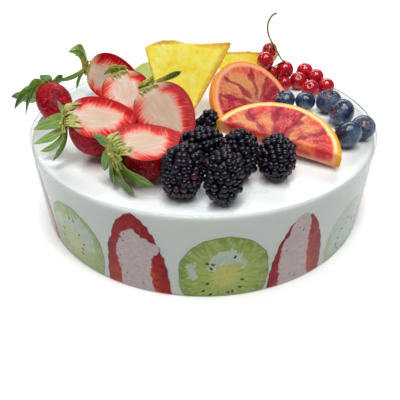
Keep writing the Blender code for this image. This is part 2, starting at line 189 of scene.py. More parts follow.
def speckled(name, colour, roughness, scale, detail, *stops):
    """A finish whose colour runs through the stops in small patches."""
    finish = Finish(name, colour, Roughness=roughness)
    finish.colour(finish.place().noise(scale, detail).ramp(*stops))
    return finish


# Mesh helpers

SHARP = math.radians(50.0)


def grid(rows, columns, wrap=True):
    """Quads between rows of points, each row closed on itself where it wraps."""
    row = np.arange(rows - 1)[:, None] * columns
    column = np.arange(columns if wrap else columns - 1)[None, :]
    after = (column + 1) % columns
    quads = np.stack([row + column, row + after, row + columns + after, row + columns + column], -1)
    return quads.reshape(-1, 4)


class Shape:
    """Points, quads and values on the points, gathered piece by piece before they become one mesh."""

    def __init__(self):
        self.points, self.quads, self.slots, self.fields = [], [], [], {}
        self.count = 0

    def add(self, points, quads, slot=0, **fields):
        points = np.asarray(points, float).reshape(-1, 3)
        self.points.append(points)
        self.quads.append(np.asarray(quads) + self.count)
        self.slots.append(np.full(len(quads), slot))
        for name in {**self.fields, **fields}:
            value = np.asarray(fields.get(name, 0.0), float)
            if name not in self.fields:
                self.fields[name] = [np.zeros((self.count, value.size // len(points) if value.ndim else 1))]
            width = self.fields[name][0].shape[1]
            value = value.reshape(-1, width) if value.size == len(points) * width else value
            self.fields[name].append(np.broadcast_to(value, (len(points), width)))
        self.count += len(points)

    def make(self, name, finishes, frame_matrix=None, near=1e-3):
        """One object, its points joined where they are nearer than this."""
        points, slots = np.concatenate(self.points), np.concatenate(self.slots)
        cells = np.round(points / near).astype(np.int64)
        _, first, index = np.unique(cells, axis=0, return_index=True, return_inverse=True)
        points, quads = points[first], index.reshape(-1)[np.concatenate(self.quads)]
        # Where two corners of a quad have become one, the other three are a triangle.
        same = quads == np.roll(quads, -1, axis=1)
        whole, three = same.sum(1) == 0, same.sum(1) == 1
        keep = (same[three].argmax(1)[:, None] + 1 + np.arange(3)) % 4
        triangles, quads = np.take_along_axis(quads[three], keep, 1), quads[whole]
        if frame_matrix is not None:
            turn = np.array(frame_matrix)
            points = points @ turn[:3, :3].T + turn[:3, 3]
        corners = points[np.concatenate([quads[:, :3], quads[:, [0, 2, 3]], triangles])]
        if np.linalg.det(corners).sum() < 0.0:
            quads, triangles = quads[:, ::-1], triangles[:, ::-1]
        mesh = bpy.data.meshes.new(name)
        mesh.vertices.add(len(points))
        mesh.vertices.foreach_set("co", (points * MM).ravel())
        loops = np.concatenate([quads.ravel(), triangles.ravel()])
        sizes = np.repeat([4, 3], [len(quads), len(triangles)])
        mesh.loops.add(len(loops))
        mesh.loops.foreach_set("vertex_index", loops)
        mesh.polygons.add(len(sizes))
        mesh.polygons.foreach_set("loop_start", np.cumsum(sizes) - sizes)
        mesh.polygons.foreach_set("material_index", np.concatenate([slots[whole], slots[three]]))
        mesh.update(calc_edges=True)
        for field, values in self.fields.items():
            values = np.concatenate(values)[first]
            kind, key = ("FLOAT_VECTOR", "vector") if values.shape[1] == 3 else ("FLOAT", "value")
            mesh.attributes.new(field, kind, "POINT").data.foreach_set(key, values.ravel())
        mesh.shade_smooth()
        mesh.set_sharp_from_angle(angle=SHARP)
        for finish in finishes:
            mesh.materials.append(finish.material)
        return placed(name, mesh)


def placed(name, data, matrix=None):
    made = bpy.data.objects.new(name, data)
    bpy.context.scene.collection.objects.link(made)
    if matrix is not None:
        made.matrix_world = matrix
    return made


def show(piece, node):
    """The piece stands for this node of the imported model."""
    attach(piece, "root")
    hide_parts(node)


def rough(points, size, seed, octaves=3):
    """Smooth noise of -1 to 1 at each point."""
    shift = Vector((seed * 17.3, seed * 5.1, -seed * 9.7))
    return np.array([noise.fractal(Vector(point) / size + shift, 1.0, 2.0, octaves) for point in points])


def with_zero(points):
    """Flat points as points in space."""
    return np.c_[points, np.zeros(len(points))]


def sphere(falls, around):
    """Unit points in rows down from a pole on +Z, with how far each has fallen from it and its turn."""
    fall, turn = np.meshgrid(falls, np.linspace(0.0, TURN, around, endpoint=False), indexing="ij")
    return np.stack([np.sin(fall) * np.cos(turn), np.sin(fall) * np.sin(turn), np.cos(fall)], -1), fall, turn


def ball(around, along):
    """Unit sphere points and quads, with its poles on Z."""
    points, _, _ = sphere(np.linspace(0.0, math.pi, along), around)
    return points.reshape(-1, 3), grid(along, around)


def about(direction, spin=0.0):
    """The 3 by 3 turn that stands +Z along a direction."""
    found = Vector(direction).to_track_quat("Z", "X").to_matrix() @ Matrix.Rotation(spin, 3, "Z")
    return np.array(found)


def spun(points, turn):
    """The points turned about +Z."""
    cos, sin = math.cos(turn), math.sin(turn)
    return points @ np.array([[cos, sin, 0.0], [-sin, cos, 0.0], [0.0, 0.0, 1.0]])


def polar(points, centre=(0.0, 0.0)):
    """How far each point is from a centre in its plane, and its turn from +X about it."""
    across, up = points[:, 0] - centre[0], points[:, 1] - centre[1]
    return np.hypot(across, up), np.arctan2(up, across)


def nearest(points, others):
    """How far each point is from the nearest of the others."""
    blocks = np.array_split(points, max(1, len(points) // 2000))
    return np.concatenate([np.linalg.norm(block[:, None] - others, axis=2).min(1) for block in blocks])


def bent(start, bend, tip, share):
    """Points on the way from a start to a tip, drawn aside towards a third point."""
    share = share[:, None]
    return (1.0 - share) ** 2 * start + 2.0 * share * (1.0 - share) * bend + share**2 * tip


def tube(shape, path, radii, sides=8, slot=0, **fields):
    """A round rod along a path, closed at both ends."""
    path = np.asarray(path, float)
    ways = np.gradient(path, axis=0)
    ways /= np.linalg.norm(ways, axis=1)[:, None]
    side = np.cross(ways[0], (0.3, 0.5, 0.8))
    turn = np.linspace(0.0, TURN, sides, endpoint=False)[:, None]
    rows = [np.repeat(path[:1], sides, 0)]
    for point, way, radius in zip(path, ways, radii):
        side = side - way * side.dot(way)
        side /= np.linalg.norm(side)
        rows.append(point + radius * (np.cos(turn) * side + np.sin(turn) * np.cross(way, side)))
    rows.append(np.repeat(path[-1:], sides, 0))
    shape.add(np.concatenate(rows), grid(len(rows), sides), slot, **fields)


def slab(outline, centre, thick, rounding, rings, back_rings=10):
    """Points and quads of a thick flat shape in its own XY plane, from the front's centre to the back's."""
    outline, centre = np.asarray(outline, float), np.asarray(centre, float)
    spokes = outline - centre
    reach = np.linalg.norm(spokes, axis=1)[:, None]
    inner = 1.0 - rounding / reach
    corner = []
    for turn in np.radians((22.0, 45.0, 68.0, 90.0)):
        height = thick / 2.0 - rounding * (1.0 - math.cos(turn))
        corner.append((1.0 - rounding * (1.0 - math.sin(turn)) / reach, height))
    rows = [(share * inner, thick / 2.0) for share in np.linspace(0.0, 1.0, rings)] + corner
    rows += [(1.0 + 0.0 * reach, (thick / 2.0 - rounding) * level) for level in (0.5, 0.0, -0.5)]
    rows += [(size, -height) for size, height in corner[::-1]]
    rows += [(share * inner, -thick / 2.0) for share in np.linspace(1.0, 0.0, back_rings)]
    points = [np.c_[centre + spokes * size, np.full(len(spokes), height)] for size, height in rows]
    return np.concatenate(points), grid(len(rows), len(outline))


def even(outline, count):
    """A closed outline resampled to evenly spaced points."""
    outline = np.asarray(outline, float)
    closed = np.concatenate([outline, outline[:1]])
    length = np.concatenate([[0.0], np.cumsum(np.linalg.norm(np.diff(closed, axis=0), axis=1))])
    where = np.linspace(0.0, length[-1], count, endpoint=False)
    return np.stack([np.interp(where, length, closed[:, axis]) for axis in (0, 1)], -1)


def arc(radius, start, count):
    """An upper part of a circle, from a turn over +X to the same over -X."""
    turn = np.linspace(start, math.pi - start, count)
    return np.stack([radius * np.cos(turn), radius * np.sin(turn)], -1)


# The camera, where the photograph was taken from

CAMERA_PLACE = (-0.0019, -0.23058, 0.15360)
CAMERA_WAY = (0.0, 0.8077, -0.5896)
CAMERA_ROLL = -0.22
LENS = 36.747
FLOOR_SIZE = 3.0
CAKE_MIDDLE = (0.0, 0.0, 0.03)
# Name, place, aim, width and length, power and spread
LAMPS = [
    ("left_tube", (-0.22, -0.38, 1.4), CAKE_MIDDLE, (0.22, 1.1), 8.8, 180.0),
    ("right_tube", (0.3, -0.25, 1.45), CAKE_MIDDLE, (0.22, 1.1), 8.8, 180.0),
    ("side_light", (-1.0, 0.1, 0.9), CAKE_MIDDLE, (0.3, 0.3), 1.4, 180.0),
    ("front_light", (0.1, -0.7, 1.5), CAKE_MIDDLE, (0.9, 0.5), 4.2, 180.0),
    ("far_light", (0.0, 1.5, 1.2), (0.0, 1.1, 0.0), (2.4, 0.6), 16.0, 100.0),
]


def looking(place, way):
    return Matrix.Translation(place) @ Vector(way).to_track_quat("-Z", "Y").to_matrix().to_4x4()


def camera():
    data = bpy.data.cameras.new("camera")
    data.lens, data.sensor_width = LENS, 36.0
    data.clip_start, data.clip_end = 0.01, 50.0
    roll = Matrix.Rotation(math.radians(CAMERA_ROLL), 4, "Z")
    bpy.context.scene.camera = placed("camera", data, looking(CAMERA_PLACE, CAMERA_WAY) @ roll)


def studio():
    world = bpy.data.worlds.new("studio")
    world.use_nodes = True
    world.node_tree.nodes["Background"].inputs["Color"].default_value = (0.97, 0.99, 1.0, 1.0)
    world.node_tree.nodes["Background"].inputs["Strength"].default_value = 0.16
    bpy.context.scene.world = world
    bpy.context.scene.view_settings.view_transform = "Standard"
    for name, place, aim, size, power, wide in LAMPS:
        data = bpy.data.lights.new(name, "AREA")
        data.shape = "RECTANGLE"
        data.size, data.size_y = size
        data.energy = power
        data.spread = math.radians(wide)
        placed(name, data, looking(place, Vector(aim) - Vector(place)))
    mesh = bpy.data.meshes.new("floor")
    corners = [(x * FLOOR_SIZE, y * FLOOR_SIZE, 0.0) for x, y in ((-1, -1), (1, -1), (1, 1), (-1, 1))]
    mesh.from_pydata(corners, [], [(0, 1, 2, 3)])
    mesh.materials.append(Finish("floor", (252, 252, 252), Roughness=0.7).material)
    placed("floor", mesh)


# The cake

CREAM_RADIUS = 99.3
CREAM_TOP = 48.5
CREAM_EDGE = 2.0
COLLAR_RADIUS = 100.0
COLLAR_WALL = 0.25
COLLAR_TOP = 50.0
COLLAR_FOOT = 0.5
COLLAR_LAP = 0.02


def round_cake(reach, turn, height):
    """Points at a reach from the cake's axis, a turn from its front and a height."""
    return np.stack([reach * np.sin(turn), -reach * np.cos(turn), height + 0.0 * turn], -1)


def cream_finish():
    cream = Finish(
        "cream", (250, 250, 248), Roughness=0.32, Subsurface_Weight=0.25, Subsurface_Scale=0.004,
        Subsurface_Radius=(1.0, 0.9, 0.8), Coat_Weight=0.12,
    )
    place = cream.place()
    across, _, up = place.parts()
    across = abs(across)
    flat = place.scaled(1.0, 1.0, 0.0)
    reach = Value(flat.put("ShaderNodeVectorMath", {0: flat}, operation="LENGTH").outputs["Value"])
    # Painted shade: the cream is painted grey towards its left and right, and on the outer ring of its top
    # towards them.
    painted_brim_shade = reach.between(82.0, 98.0) * up.between(46.0, 48.2) * across.between(30.0, 80.0, 0.0, 0.45)
    sides = across.between(66.0, 98.0, 0.0, 0.65).math("MAXIMUM", painted_brim_shade)
    colour = place.noise(0.03).between(0.35, 0.7).blend((249, 253, 252), (243, 248, 247))
    colour = sides.blend(colour, (152, 162, 159))
    # Painted shade: below its top the cream's wall is painted a little darker.
    cream.colour(up.between(45.5, 47.5, 1.0, 0.0).blend(colour, (240, 242, 239)))
    cream.bump(place.noise(0.05, 2.0) + place.noise(1.1, 2.0) * 0.06, 0.6, 0.5)
    return cream


def cream_cake():
    """The cream with a soft upper edge, and its top very slightly uneven."""
    around = 320
    wall = CREAM_RADIUS - 0.25
    profile = [(0.0, 0.0), (wall - 0.4, 0.0), (wall, 0.4)]
    profile += [(wall, height) for height in np.linspace(2.0, CREAM_TOP - CREAM_EDGE, 20)]
    for turn in np.radians(np.linspace(15.0, 90.0, 6)):
        inset, drop = CREAM_EDGE * (1.0 - math.cos(turn)), CREAM_EDGE * (1.0 - math.sin(turn))
        profile.append((wall - inset, CREAM_TOP - drop))
    profile += [(radius, CREAM_TOP) for radius in np.linspace(wall - CREAM_EDGE - 2.0, 0.0, 26)]
    turn = np.linspace(0.0, TURN, around, endpoint=False)
    points = np.concatenate([round_cake(radius, turn, height) for radius, height in profile])
    top = points[:, 2] > CREAM_TOP - 0.5
    points[top, 2] += 0.12 * rough(points[top], 22.0, 3, 2)
    shape = Shape()
    shape.add(points, grid(len(profile), around))
    show(shape.make("cream_cake", [cream_finish()]), "semifreddo")


def film_edge_finish():
    edge = Finish("film_edge", Roughness=0.15)
    place = edge.place()
    across, along, _ = place.parts()
    # Painted light and shade: the film's edge shows as a grey line, strongest at the back right and faint
    # towards the front and the left.
    sheen = place.scaled(0.06, 0.06, 0.4).noise(1.0, 2.0)
    edge.colour(sheen.ramp((0.35, 128, 144, 144), (0.65, 200, 212, 212)))
    free = along.between(-55.0, -5.0, 0.04, 0.95) * across.between(-60.0, 30.0, 0.4, 1.0)
    edge.drive("Alpha", free * sheen.between(0.3, 0.7, 0.9, 0.5))
    return edge


def collar():
    """The clear film, a little wavy at its free upper edge, its ends lapping at the back."""
    around = 480
    turn = np.linspace(math.pi, 3.0 * math.pi + COLLAR_LAP, around)
    lap = np.clip((turn - 3.0 * math.pi + COLLAR_LAP) / COLLAR_LAP, 0.0, 1.0) * 0.3
    inner = COLLAR_RADIUS - COLLAR_WALL - 0.3 + lap
    section = [(0.0, COLLAR_FOOT), (COLLAR_WALL, COLLAR_FOOT)]
    section += [(COLLAR_WALL, z) for z in np.linspace(4.0, COLLAR_TOP - 2.0, 10)]
    section += [(COLLAR_WALL, COLLAR_TOP), (0.0, COLLAR_TOP)]
    section += [(0.0, z) for z in np.linspace(COLLAR_TOP - 2.0, 4.0, 10)]
    rows = []
    for out, height in section:
        wave = 0.1 * np.sin(turn * 7.0) * max(0.0, (height - 44.0) / 6.0)
        rows.append(round_cake(inner + out + wave, turn, height))
    rows = np.stack(rows, 1)
    shape = Shape()
    shape.add(rows, grid(around, len(section)))
    for ring in (rows[0], rows[-1]):
        half = len(ring) // 2
        shape.add(np.stack([ring[:half], ring[::-1][:half]], 1), grid(half, 2, wrap=False))
    # A band over the free edge, drawn as a painted grey line of the light and shade that the edge catches
    low = (0.0, 0.0, 0.7)
    outside, inside = rows[:, len(section) // 2], rows[:, len(section) // 2 + 1]
    band = np.stack([outside - low, outside, inside, inside - low], 1)
    band[:, :, :2] *= (1.0 + np.array([0.03, 0.03, -0.03, -0.03]) / COLLAR_RADIUS)[None, :, None]
    band[:, 1:3, 2] += 0.03
    shape.add(band, grid(around, 4, wrap=False), 1)
    edge = film_edge_finish()
    # Painted shade: the film's grey tint darkens the wall seen through it.
    film = Finish("film", (255, 255, 255)).clear((0.866, 0.876, 0.87, 1.0), 0.1, 0.35, 0.004)
    show(shape.make("clear_collar", [film, edge]), "acetate_collar")


# The slices in the wall

SLICE_DEPTH = 2.5
SLICE_ROUNDING = 0.35
SLICE_POINTS = 140
SLICE_FOOT = 0.4
SLICE_PAIRS = 8
SLICE_PITCH = 360.0 / (2 * SLICE_PAIRS)
FIRST_SLICE = -17.5
SLICE_FACE = CREAM_RADIUS - 0.05
LOWEST_SEED = 1.2
# By their number from the front: how far each is turned from its even place, half its width and its height
BERRY_SLICES = {0: (-1.4, 16.8, 47.0), 1: (-0.4, 16.0, 42.5), 7: (-0.5, 16.0, 44.0)}
# The same with the radius and the height of the middle
KIWI_SLICES = {0: (0.4, 21.3, 16.2), 1: (-0.5, 19.0, 13.5), 7: (-1.5, 20.5, 16.5)}


def mirrored(right):
    """A closed outline from its right half."""
    return np.concatenate([right, right[::-1] * (-1.0, 1.0)])


def berry_slice_outline(half_width, height):
    up = 1.0 - (1.0 - np.linspace(0.0, 1.0, 60)) ** 2.0
    return mirrored(np.stack([half_width * (1.0 - up**1.9) ** 0.57, np.maximum(up * height, SLICE_FOOT)], -1))


def kiwi_slice_outline(radius, centre):
    down = np.linspace(centre - SLICE_FOOT, 0.0, 12)
    foot = np.stack([radius * (1.0 - (down / radius) ** 4) ** 0.25, centre - down], -1)
    turn = np.linspace(0.0, math.pi / 2.0, 40)
    over = np.stack([radius * np.cos(turn), centre + radius * np.sin(turn)], -1)
    return mirrored(np.concatenate([foot, over]))


def on_wall(points, middle):
    """Points of arc, height and depth, bent round the wall about a middle angle."""
    turn = math.radians(middle) + points[:, 0] / CREAM_RADIUS
    return round_cake(SLICE_FACE + points[:, 2], turn, points[:, 1])


def veiled(finish, colour, shades):
    """The colour with cream in front of it wherever the veil, in millimetres, is over nothing.

    A cloud thins the colour of a whole slice.
    """
    place = finish.place()
    lumps = place.noise(0.42, 3.0, 0.6, 0.5)
    grains = place.noise(1.6, 2.0)
    veil = finish.field("veil") + lumps * 5.0 + grains * 1.2 - 3.1
    cloud = finish.field("cloud") * (lumps * 0.5 + 0.75)
    shade = (grains + lumps).between(0.8, 1.2).blend(*shades)
    return veil.between(-0.15, 0.55, 0.0, 0.95).math("MAXIMUM", cloud).blend(colour, shade)


def berry_slice_finish():
    finish = Finish("strawberry_slice", Roughness=0.45, Specular_IOR_Level=0.08)
    _, up, rim = finish.plan()
    place = finish.place()
    wet = place.noise(0.55, 3.0, 0.6, 0.8)
    colour = (place.noise(0.22) * 1.3 + rim * 0.04 - up * 0.006).ramp(
        (0.3, 112, 0, 12), (0.5, 154, 0, 14), (0.68, 186, 12, 14), (0.85, 206, 44, 24), (1.0, 220, 90, 54)
    )
    colour = up.between(26.0, 42.0, 0.0, 0.6).blend(colour, (182, 10, 44))
    colour = wet.between(0.52, 0.66, 0.0, 0.6).blend(colour, (104, 0, 14))
    colour = wet.between(0.32, 0.44, 0.45, 0.0).blend(colour, (226, 74, 66))
    colour = rim.between(0.0, 0.5, 0.7, 0.0).blend(colour, (124, 8, 28))
    finish.colour(veiled(finish, colour, ((219, 195, 199), (240, 220, 222))))
    return finish


def kiwi_slice_finish():
    finish = Finish("kiwi_slice", Roughness=0.45, Specular_IOR_Level=0.08)
    reach, turn, rim = finish.plan()
    rays = spread(reach * 0.12, turn * 8.0).noise(1.0, 3.0, 0.6)
    dark = spread(reach * 0.2, turn * 5.0, 7.0).noise(1.0)
    blots = finish.place().noise(0.3, 3.0, 0.6)
    colour = (reach * 0.05 + blots * 0.24 - 0.12).ramp(
        (0.0, 236, 228, 120), (0.26, 228, 218, 112), (0.38, 204, 210, 108), (0.55, 184, 200, 84),
        (0.8, 170, 190, 66), (1.0, 146, 168, 54),
    )
    colour = rays.between(0.46, 0.66, 0.0, 0.6).blend(colour, (210, 224, 140))
    colour = dark.between(0.54, 0.7, 0.0, 0.5).blend(colour, (126, 152, 44))
    pale = blots.between(0.5, 0.64, 0.0, 0.5) * reach.between(8.0, 14.0)
    colour = pale.blend(colour, (204, 212, 148))
    colour = rim.between(0.1, 0.8, 0.55, 0.0).blend(colour, (112, 140, 62))
    finish.colour(veiled(finish, colour, ((204, 218, 204), (224, 236, 222))))
    return finish


# Where cream covers more (over nothing) or less of a slice: across and up in millimetres, radii, how much
BERRY_VEILS = {
    0: [
        (11, 29, 4, 5, 6), (0, 47, 10, 9, -9), (13, 9, 8, 15, -8), (-12, 7, 5.5, 11, -6),
        (-13, 26, 3, 8, -1.5),
    ],
    1: [
        (-2, 41, 7, 6, 5.5), (-8, 27, 4, 8, 3), (10, 18, 8, 13, -8), (9, 6, 4, 6, -4), (-14, 4, 5, 6, -4),
        (-2, 8, 5, 8, 3),
    ],
    7: [(14, 20, 9, 22, -6)],
}
KIWI_VEILS = {
    0: [
        (0, 25, 9, 5, 4.5), (-6, 18, 4, 3, 2), (9, 20, 2.5, 4, 2.5), (-16, 19, 3.5, 6, 3.2),
        (-14, 13, 3, 3, 2.6), (14, 8, 3, 4, 1.2), (6, 32, 5, 3, 1.4),
    ],
    1: [(0, 16, 24, 24, 4.5)],
    7: [(2, 26, 12, 8, 3.5), (-12, 20, 5, 10, 2.5), (12, 18, 5, 9, 3), (8, 22, 3, 10, 2)],
}
# How much of a kiwi slice's colour the cream hides all over it
CLOUDS = {0: 0.08, 1: 0.6, 7: 0.3}
# Seeds of the kiwi slices in front, across and up in millimetres
KIWI_SEEDS = {
    0: [
        (4.4, 25.4), (-8.1, 22.1), (-5.4, 21.4), (-6.3, 18.9), (8.5, 10.5), (-8.0, 9.0), (-9.9, 4.2),
        (-6.5, 1.6), (2.1, 2.6), (4.1, 3.0), (7.6, 5.4),
    ],
    7: [
        (-0.4, 28.8), (2.8, 28.6), (-9.1, 18.0), (-10.3, 12.5), (5.3, 20.9), (-7.5, 8.6), (7.7, 15.6),
        (6.0, 11.9), (5.1, 8.7),
    ],
}
BARE_RIM = 3.6
BARE_KIWI = 2.2


def random_patches(draw, spans, thick):
    """Four patches of cream, their places and radii drawn from these spans."""
    return [(*[draw.uniform(*span) for span in spans], thick()) for _ in range(4)]


def veil_of(flat, patches):
    """How thick these patches are together at each point."""
    veil = np.zeros(len(flat))
    for across, up, wide, tall, thick in patches:
        veil += thick * np.exp(-(((flat[:, 0] - across) / wide) ** 2 + ((flat[:, 1] - up) / tall) ** 2))
    return veil


def lumpy(outline, size, depth, seed):
    """The outline moved in and out by smooth noise, but not at its foot."""
    ways = outline - outline.mean(0)
    ways /= np.linalg.norm(ways, axis=1)[:, None]
    moved = outline + ways * (rough(with_zero(outline), size, seed, 2) * depth)[:, None]
    foot = outline[:, 1] <= SLICE_FOOT + 0.05
    moved[foot] = outline[foot]
    return np.maximum(moved, (-99.0, SLICE_FOOT))


def wall_slice(name, node, flat, fields, middle, finishes, seeds, seed_size):
    """A slice bent onto the wall from its flat points and quads, and the seeds in its face."""
    points, quads = flat
    shape = Shape()
    shape.add(on_wall(points - (0.0, 0.0, SLICE_DEPTH / 2.0), middle), quads, 0, **fields)
    unit, unit_quads = ball(8, 6)
    for across, up, tilt in seeds:
        if up >= LOWEST_SEED:
            seed = spun(unit * (*seed_size, 0.14), tilt)
            shape.add(on_wall(seed + (across, up, 0.02), middle), unit_quads, 1)
    show(shape.make(name, finishes), node)


def wall_slices():
    """Strawberry and kiwi by turns, round the whole wall.

    A slice with sizes of its own draws them too, which keeps the rest in step.
    """
    draw, extra = random.Random(4), random.Random(21)
    berry, kiwi = berry_slice_finish(), kiwi_slice_finish()
    dark = speckled("kiwi_seed", (44, 40, 34), 0.3, 0.7, 1.0, (0.3, 34, 32, 30), (0.7, 82, 74, 54))
    brown = speckled("berry_slice_seed", (70, 40, 44), 0.4, 0.7, 1.0, (0.3, 66, 30, 40), (0.7, 120, 84, 70))
    for pair in range(SLICE_PAIRS):
        drawn_berry = (0.0, draw.uniform(15.5, 18.0), draw.uniform(42.0, 47.0))
        drawn_kiwi = (0.0, draw.uniform(19.0, 20.5), draw.uniform(13.0, 16.0))
        nudge, half_width, height = BERRY_SLICES.get(pair, drawn_berry)
        middle = FIRST_SLICE + 2 * pair * SLICE_PITCH + nudge
        outline = even(berry_slice_outline(half_width, height), SLICE_POINTS)
        outline = lumpy(outline, 2.5, 1.2 if pair == 0 else 0.75, pair)
        spans = ((-12, 12), (4, 40), (4, 7), (5, 10))
        drawn = random_patches(extra, spans, lambda: extra.choice((-3.0, 3.5)))
        centre = (0.0, height * 0.4)
        points, quads = slab(outline, centre, SLICE_DEPTH, SLICE_ROUNDING, 20, 3)
        rim = nearest(points[:, :2], outline[outline[:, 1] > SLICE_FOOT + 0.5])
        veil = rim - BARE_RIM + veil_of(points, BERRY_VEILS.get(pair, drawn))
        seeds = []
        for _ in range(12):
            turn, away = extra.uniform(0.0, TURN), extra.uniform(0.6, 0.92)
            up = centre[1] + height * 0.5 * away * math.sin(turn)
            seeds.append((half_width * 0.7 * away * math.cos(turn), up, turn))
        fields = {"plan": np.c_[points[:, :2], rim], "veil": veil}
        wall_slice(
            f"wall_strawberry_slice_{pair + 1}", f"wall_berry_{pair + 1}", (points, quads),
            fields, middle, [berry, brown], seeds, (0.62, 0.38),
        )

        nudge, radius, centre_height = KIWI_SLICES.get(pair, drawn_kiwi)
        middle = FIRST_SLICE + (2 * pair + 1) * SLICE_PITCH + nudge
        outline = even(kiwi_slice_outline(radius, centre_height), SLICE_POINTS)
        outline = lumpy(outline, 6.0, 0.7, 40 + pair)
        spans = ((-14, 14), (6, 30), (4, 9), (4, 8))
        drawn = random_patches(extra, spans, lambda: extra.uniform(2.0, 4.5))
        core = (0.3, centre_height - 2.0)
        points, quads = slab(outline, (0.0, centre_height), SLICE_DEPTH, SLICE_ROUNDING, 20, 3)
        veil = veil_of(points, KIWI_VEILS.get(pair, drawn)) - BARE_KIWI
        plan = np.stack([*polar(points, core), nearest(points[:, :2], outline)], -1)
        spots = list(KIWI_SEEDS.get(pair, []))
        for step in range(0 if spots else 15):
            turn = TURN * (step + extra.uniform(-0.4, 0.4)) / 15
            away = radius * extra.uniform(0.38, 0.6)
            spots.append((core[0] + away * math.cos(turn), core[1] + away * math.sin(turn)))
        seeds = [(x, y, math.atan2(y - core[1], x - core[0]) + extra.uniform(-0.5, 0.5)) for x, y in spots]
        fields = {"plan": plan, "veil": veil, "cloud": CLOUDS.get(pair, 0.3)}
        wall_slice(
            f"wall_kiwi_slice_{pair + 1}", f"wall_kiwi_{pair + 1}", (points, quads),
            fields, middle, [kiwi, dark], seeds, (1.15, 0.7),
        )


# Strawberries

# A leaf's tip, its width, how far from the berry's axis it starts, how much it arches and how green it is.
# Where green is nothing, it is as green as the berry's others.
Leaf = namedtuple("Leaf", "tip width start lift green", defaults=(1.8, 0.0, 0.0))


class Berry(namedtuple("Berry", "place azimuth rise roll length width thickness cut ruff over green leaves")):
    """A strawberry lying in its own frame: +X from the leaves to the tip, the cut face up.

    The cut is how far over the middle it goes, and there is none on a whole berry. The ruff is how far the
    short sepals reach, over is how far they lie on the cut face, and green is how green the leaves are.
    """

    @property
    def turn(self):
        turn = Matrix.Rotation(math.radians(self.azimuth), 3, "Z")
        turn = turn @ Matrix.Rotation(math.radians(-self.rise), 3, "Y")
        return turn @ Matrix.Rotation(math.radians(self.roll), 3, "X")

    @property
    def frame(self):
        return Matrix.Translation(Vector(self.place)) @ self.turn.to_4x4()


STRAWBERRIES = [
    Berry(
        (-91.5, 5, 64.2), -62, -24, 6, 30.0, 20.0, 19.5, None, 5.5, 0.0, 1.2,
        [
            Leaf((-117, 8, 58), 10.5), Leaf((-109, -9, 57), 7), Leaf((-101, -15, 55), 6.5),
            Leaf((-96, 7, 71.5), 6), Leaf((-84, 12, 70), 5.5), Leaf((-99, 20, 62), 7),
        ],
    ),
    Berry(
        (-74, 33, 66.8), -20, -14, 68, 40.0, 28.5, 30.0, 0.0, 5.0, 2.0, 1.0,
        [
            Leaf((-83, 26.5, 79), 8.0, 1.8, 8.0), Leaf((-93, 18, 64), 3.4, 1.8, -9.0),
            Leaf((-80, 20, 58), 3.6), Leaf((-84, 40, 73), 3.5),
        ],
    ),
    Berry(
        (-50, 12, 71.4), -66, -29, 12, 35.0, 28.0, 25.0, 0.0, 5.5, 4.5, 0.34,
        [Leaf((-56, 9.5, 74.5), 3), Leaf((-59, 9.5, 70.5), 3.2), Leaf((-45.5, 13, 73), 3)],
    ),
    Berry(
        (-64, -51.8, 72.5), 15, -8, 17, 35.0, 32.0, 31.0, 5.0, 9.5, 6.5, 0.72,
        [
            Leaf((-72, -40, 75), 5), Leaf((-86, -43, 61), 7.5), Leaf((-86, -48, 55.5), 6),
            Leaf((-82, -51, 53), 7), Leaf((-73, -61, 53), 9),
        ],
    ),
    Berry(
        (-30, -15, 72.5), -49, -30, 22, 40.0, 31.0, 28.0, 0.0, 6.0, 3.6, 0.1,
        [
            Leaf((-11.5, -11, 79.5), 8.5, 2.5, -5.5, 1.2), Leaf((-37, -9, 72.5), 4), Leaf((-29, -4, 73), 3.5),
            Leaf((-29, 0, 69), 3.5),
        ],
    ),
    Berry(
        (-37.9, -74.2, 68), 33, -3, 7, 32.0, 31.0, 31.0, 3.0, 9.5, 6.5, 0.78,
        [
            Leaf((-49, -70, 72), 6), Leaf((-44.5, -76, 57), 8), Leaf((-40, -80, 51.5), 7),
            Leaf((-30, -87, 51.5), 10), Leaf((-21, -85.5, 55), 9),
        ],
    ),
]
SHOULDER = 0.42
TAPER = 0.72
LEAF_CLEAR = 1.6
SEPALS = 16
FACE_SEPALS = 8
BERRY_SEEDS = 190
# How dull the middle of a cut face is
DULL = {2: 0.3, 3: 0.05, 4: 0.25, 5: 0.55, 6: 0.35}
# How far in the red reaches on one side of a cut face, in millimetres
RED_SIDE = {2: 3.8, 5: 5.4}
GOLDEN = math.pi * (3.0 - math.sqrt(5.0))


def berry_radius(share):
    """The half width of a strawberry as a share of its largest, along its length from leaf to tip."""
    widest = SHOULDER / (SHOULDER + TAPER)
    most = widest**SHOULDER * (1.0 - widest) ** TAPER
    return share**SHOULDER * (1.0 - share) ** TAPER / most


def berry_skin(berry, share, turn):
    """Points on a strawberry's skin, from the share of its length and the turn about its length."""
    reach = berry_radius(share)
    side = np.cos(turn) * berry.width / 2.0 * reach
    up = np.sin(turn) * berry.thickness / 2.0 * reach - (berry.cut or 0.0)
    return np.stack([berry.length * share + 0.0 * turn, side, up], -1)


def skin_ways(berry, share, turn):
    """The ways out of a strawberry's skin and along it."""
    step = 1e-3
    further, nearer = np.clip(share + step, 0.0, 1.0), np.clip(share - step, 0.0, 1.0)
    along = berry_skin(berry, further, turn) - berry_skin(berry, nearer, turn)
    round_it = berry_skin(berry, share, turn + step) - berry_skin(berry, share, turn - step)
    out = np.cross(round_it, along)
    return out / np.maximum(np.linalg.norm(out, axis=-1), 1e-9)[..., None], along


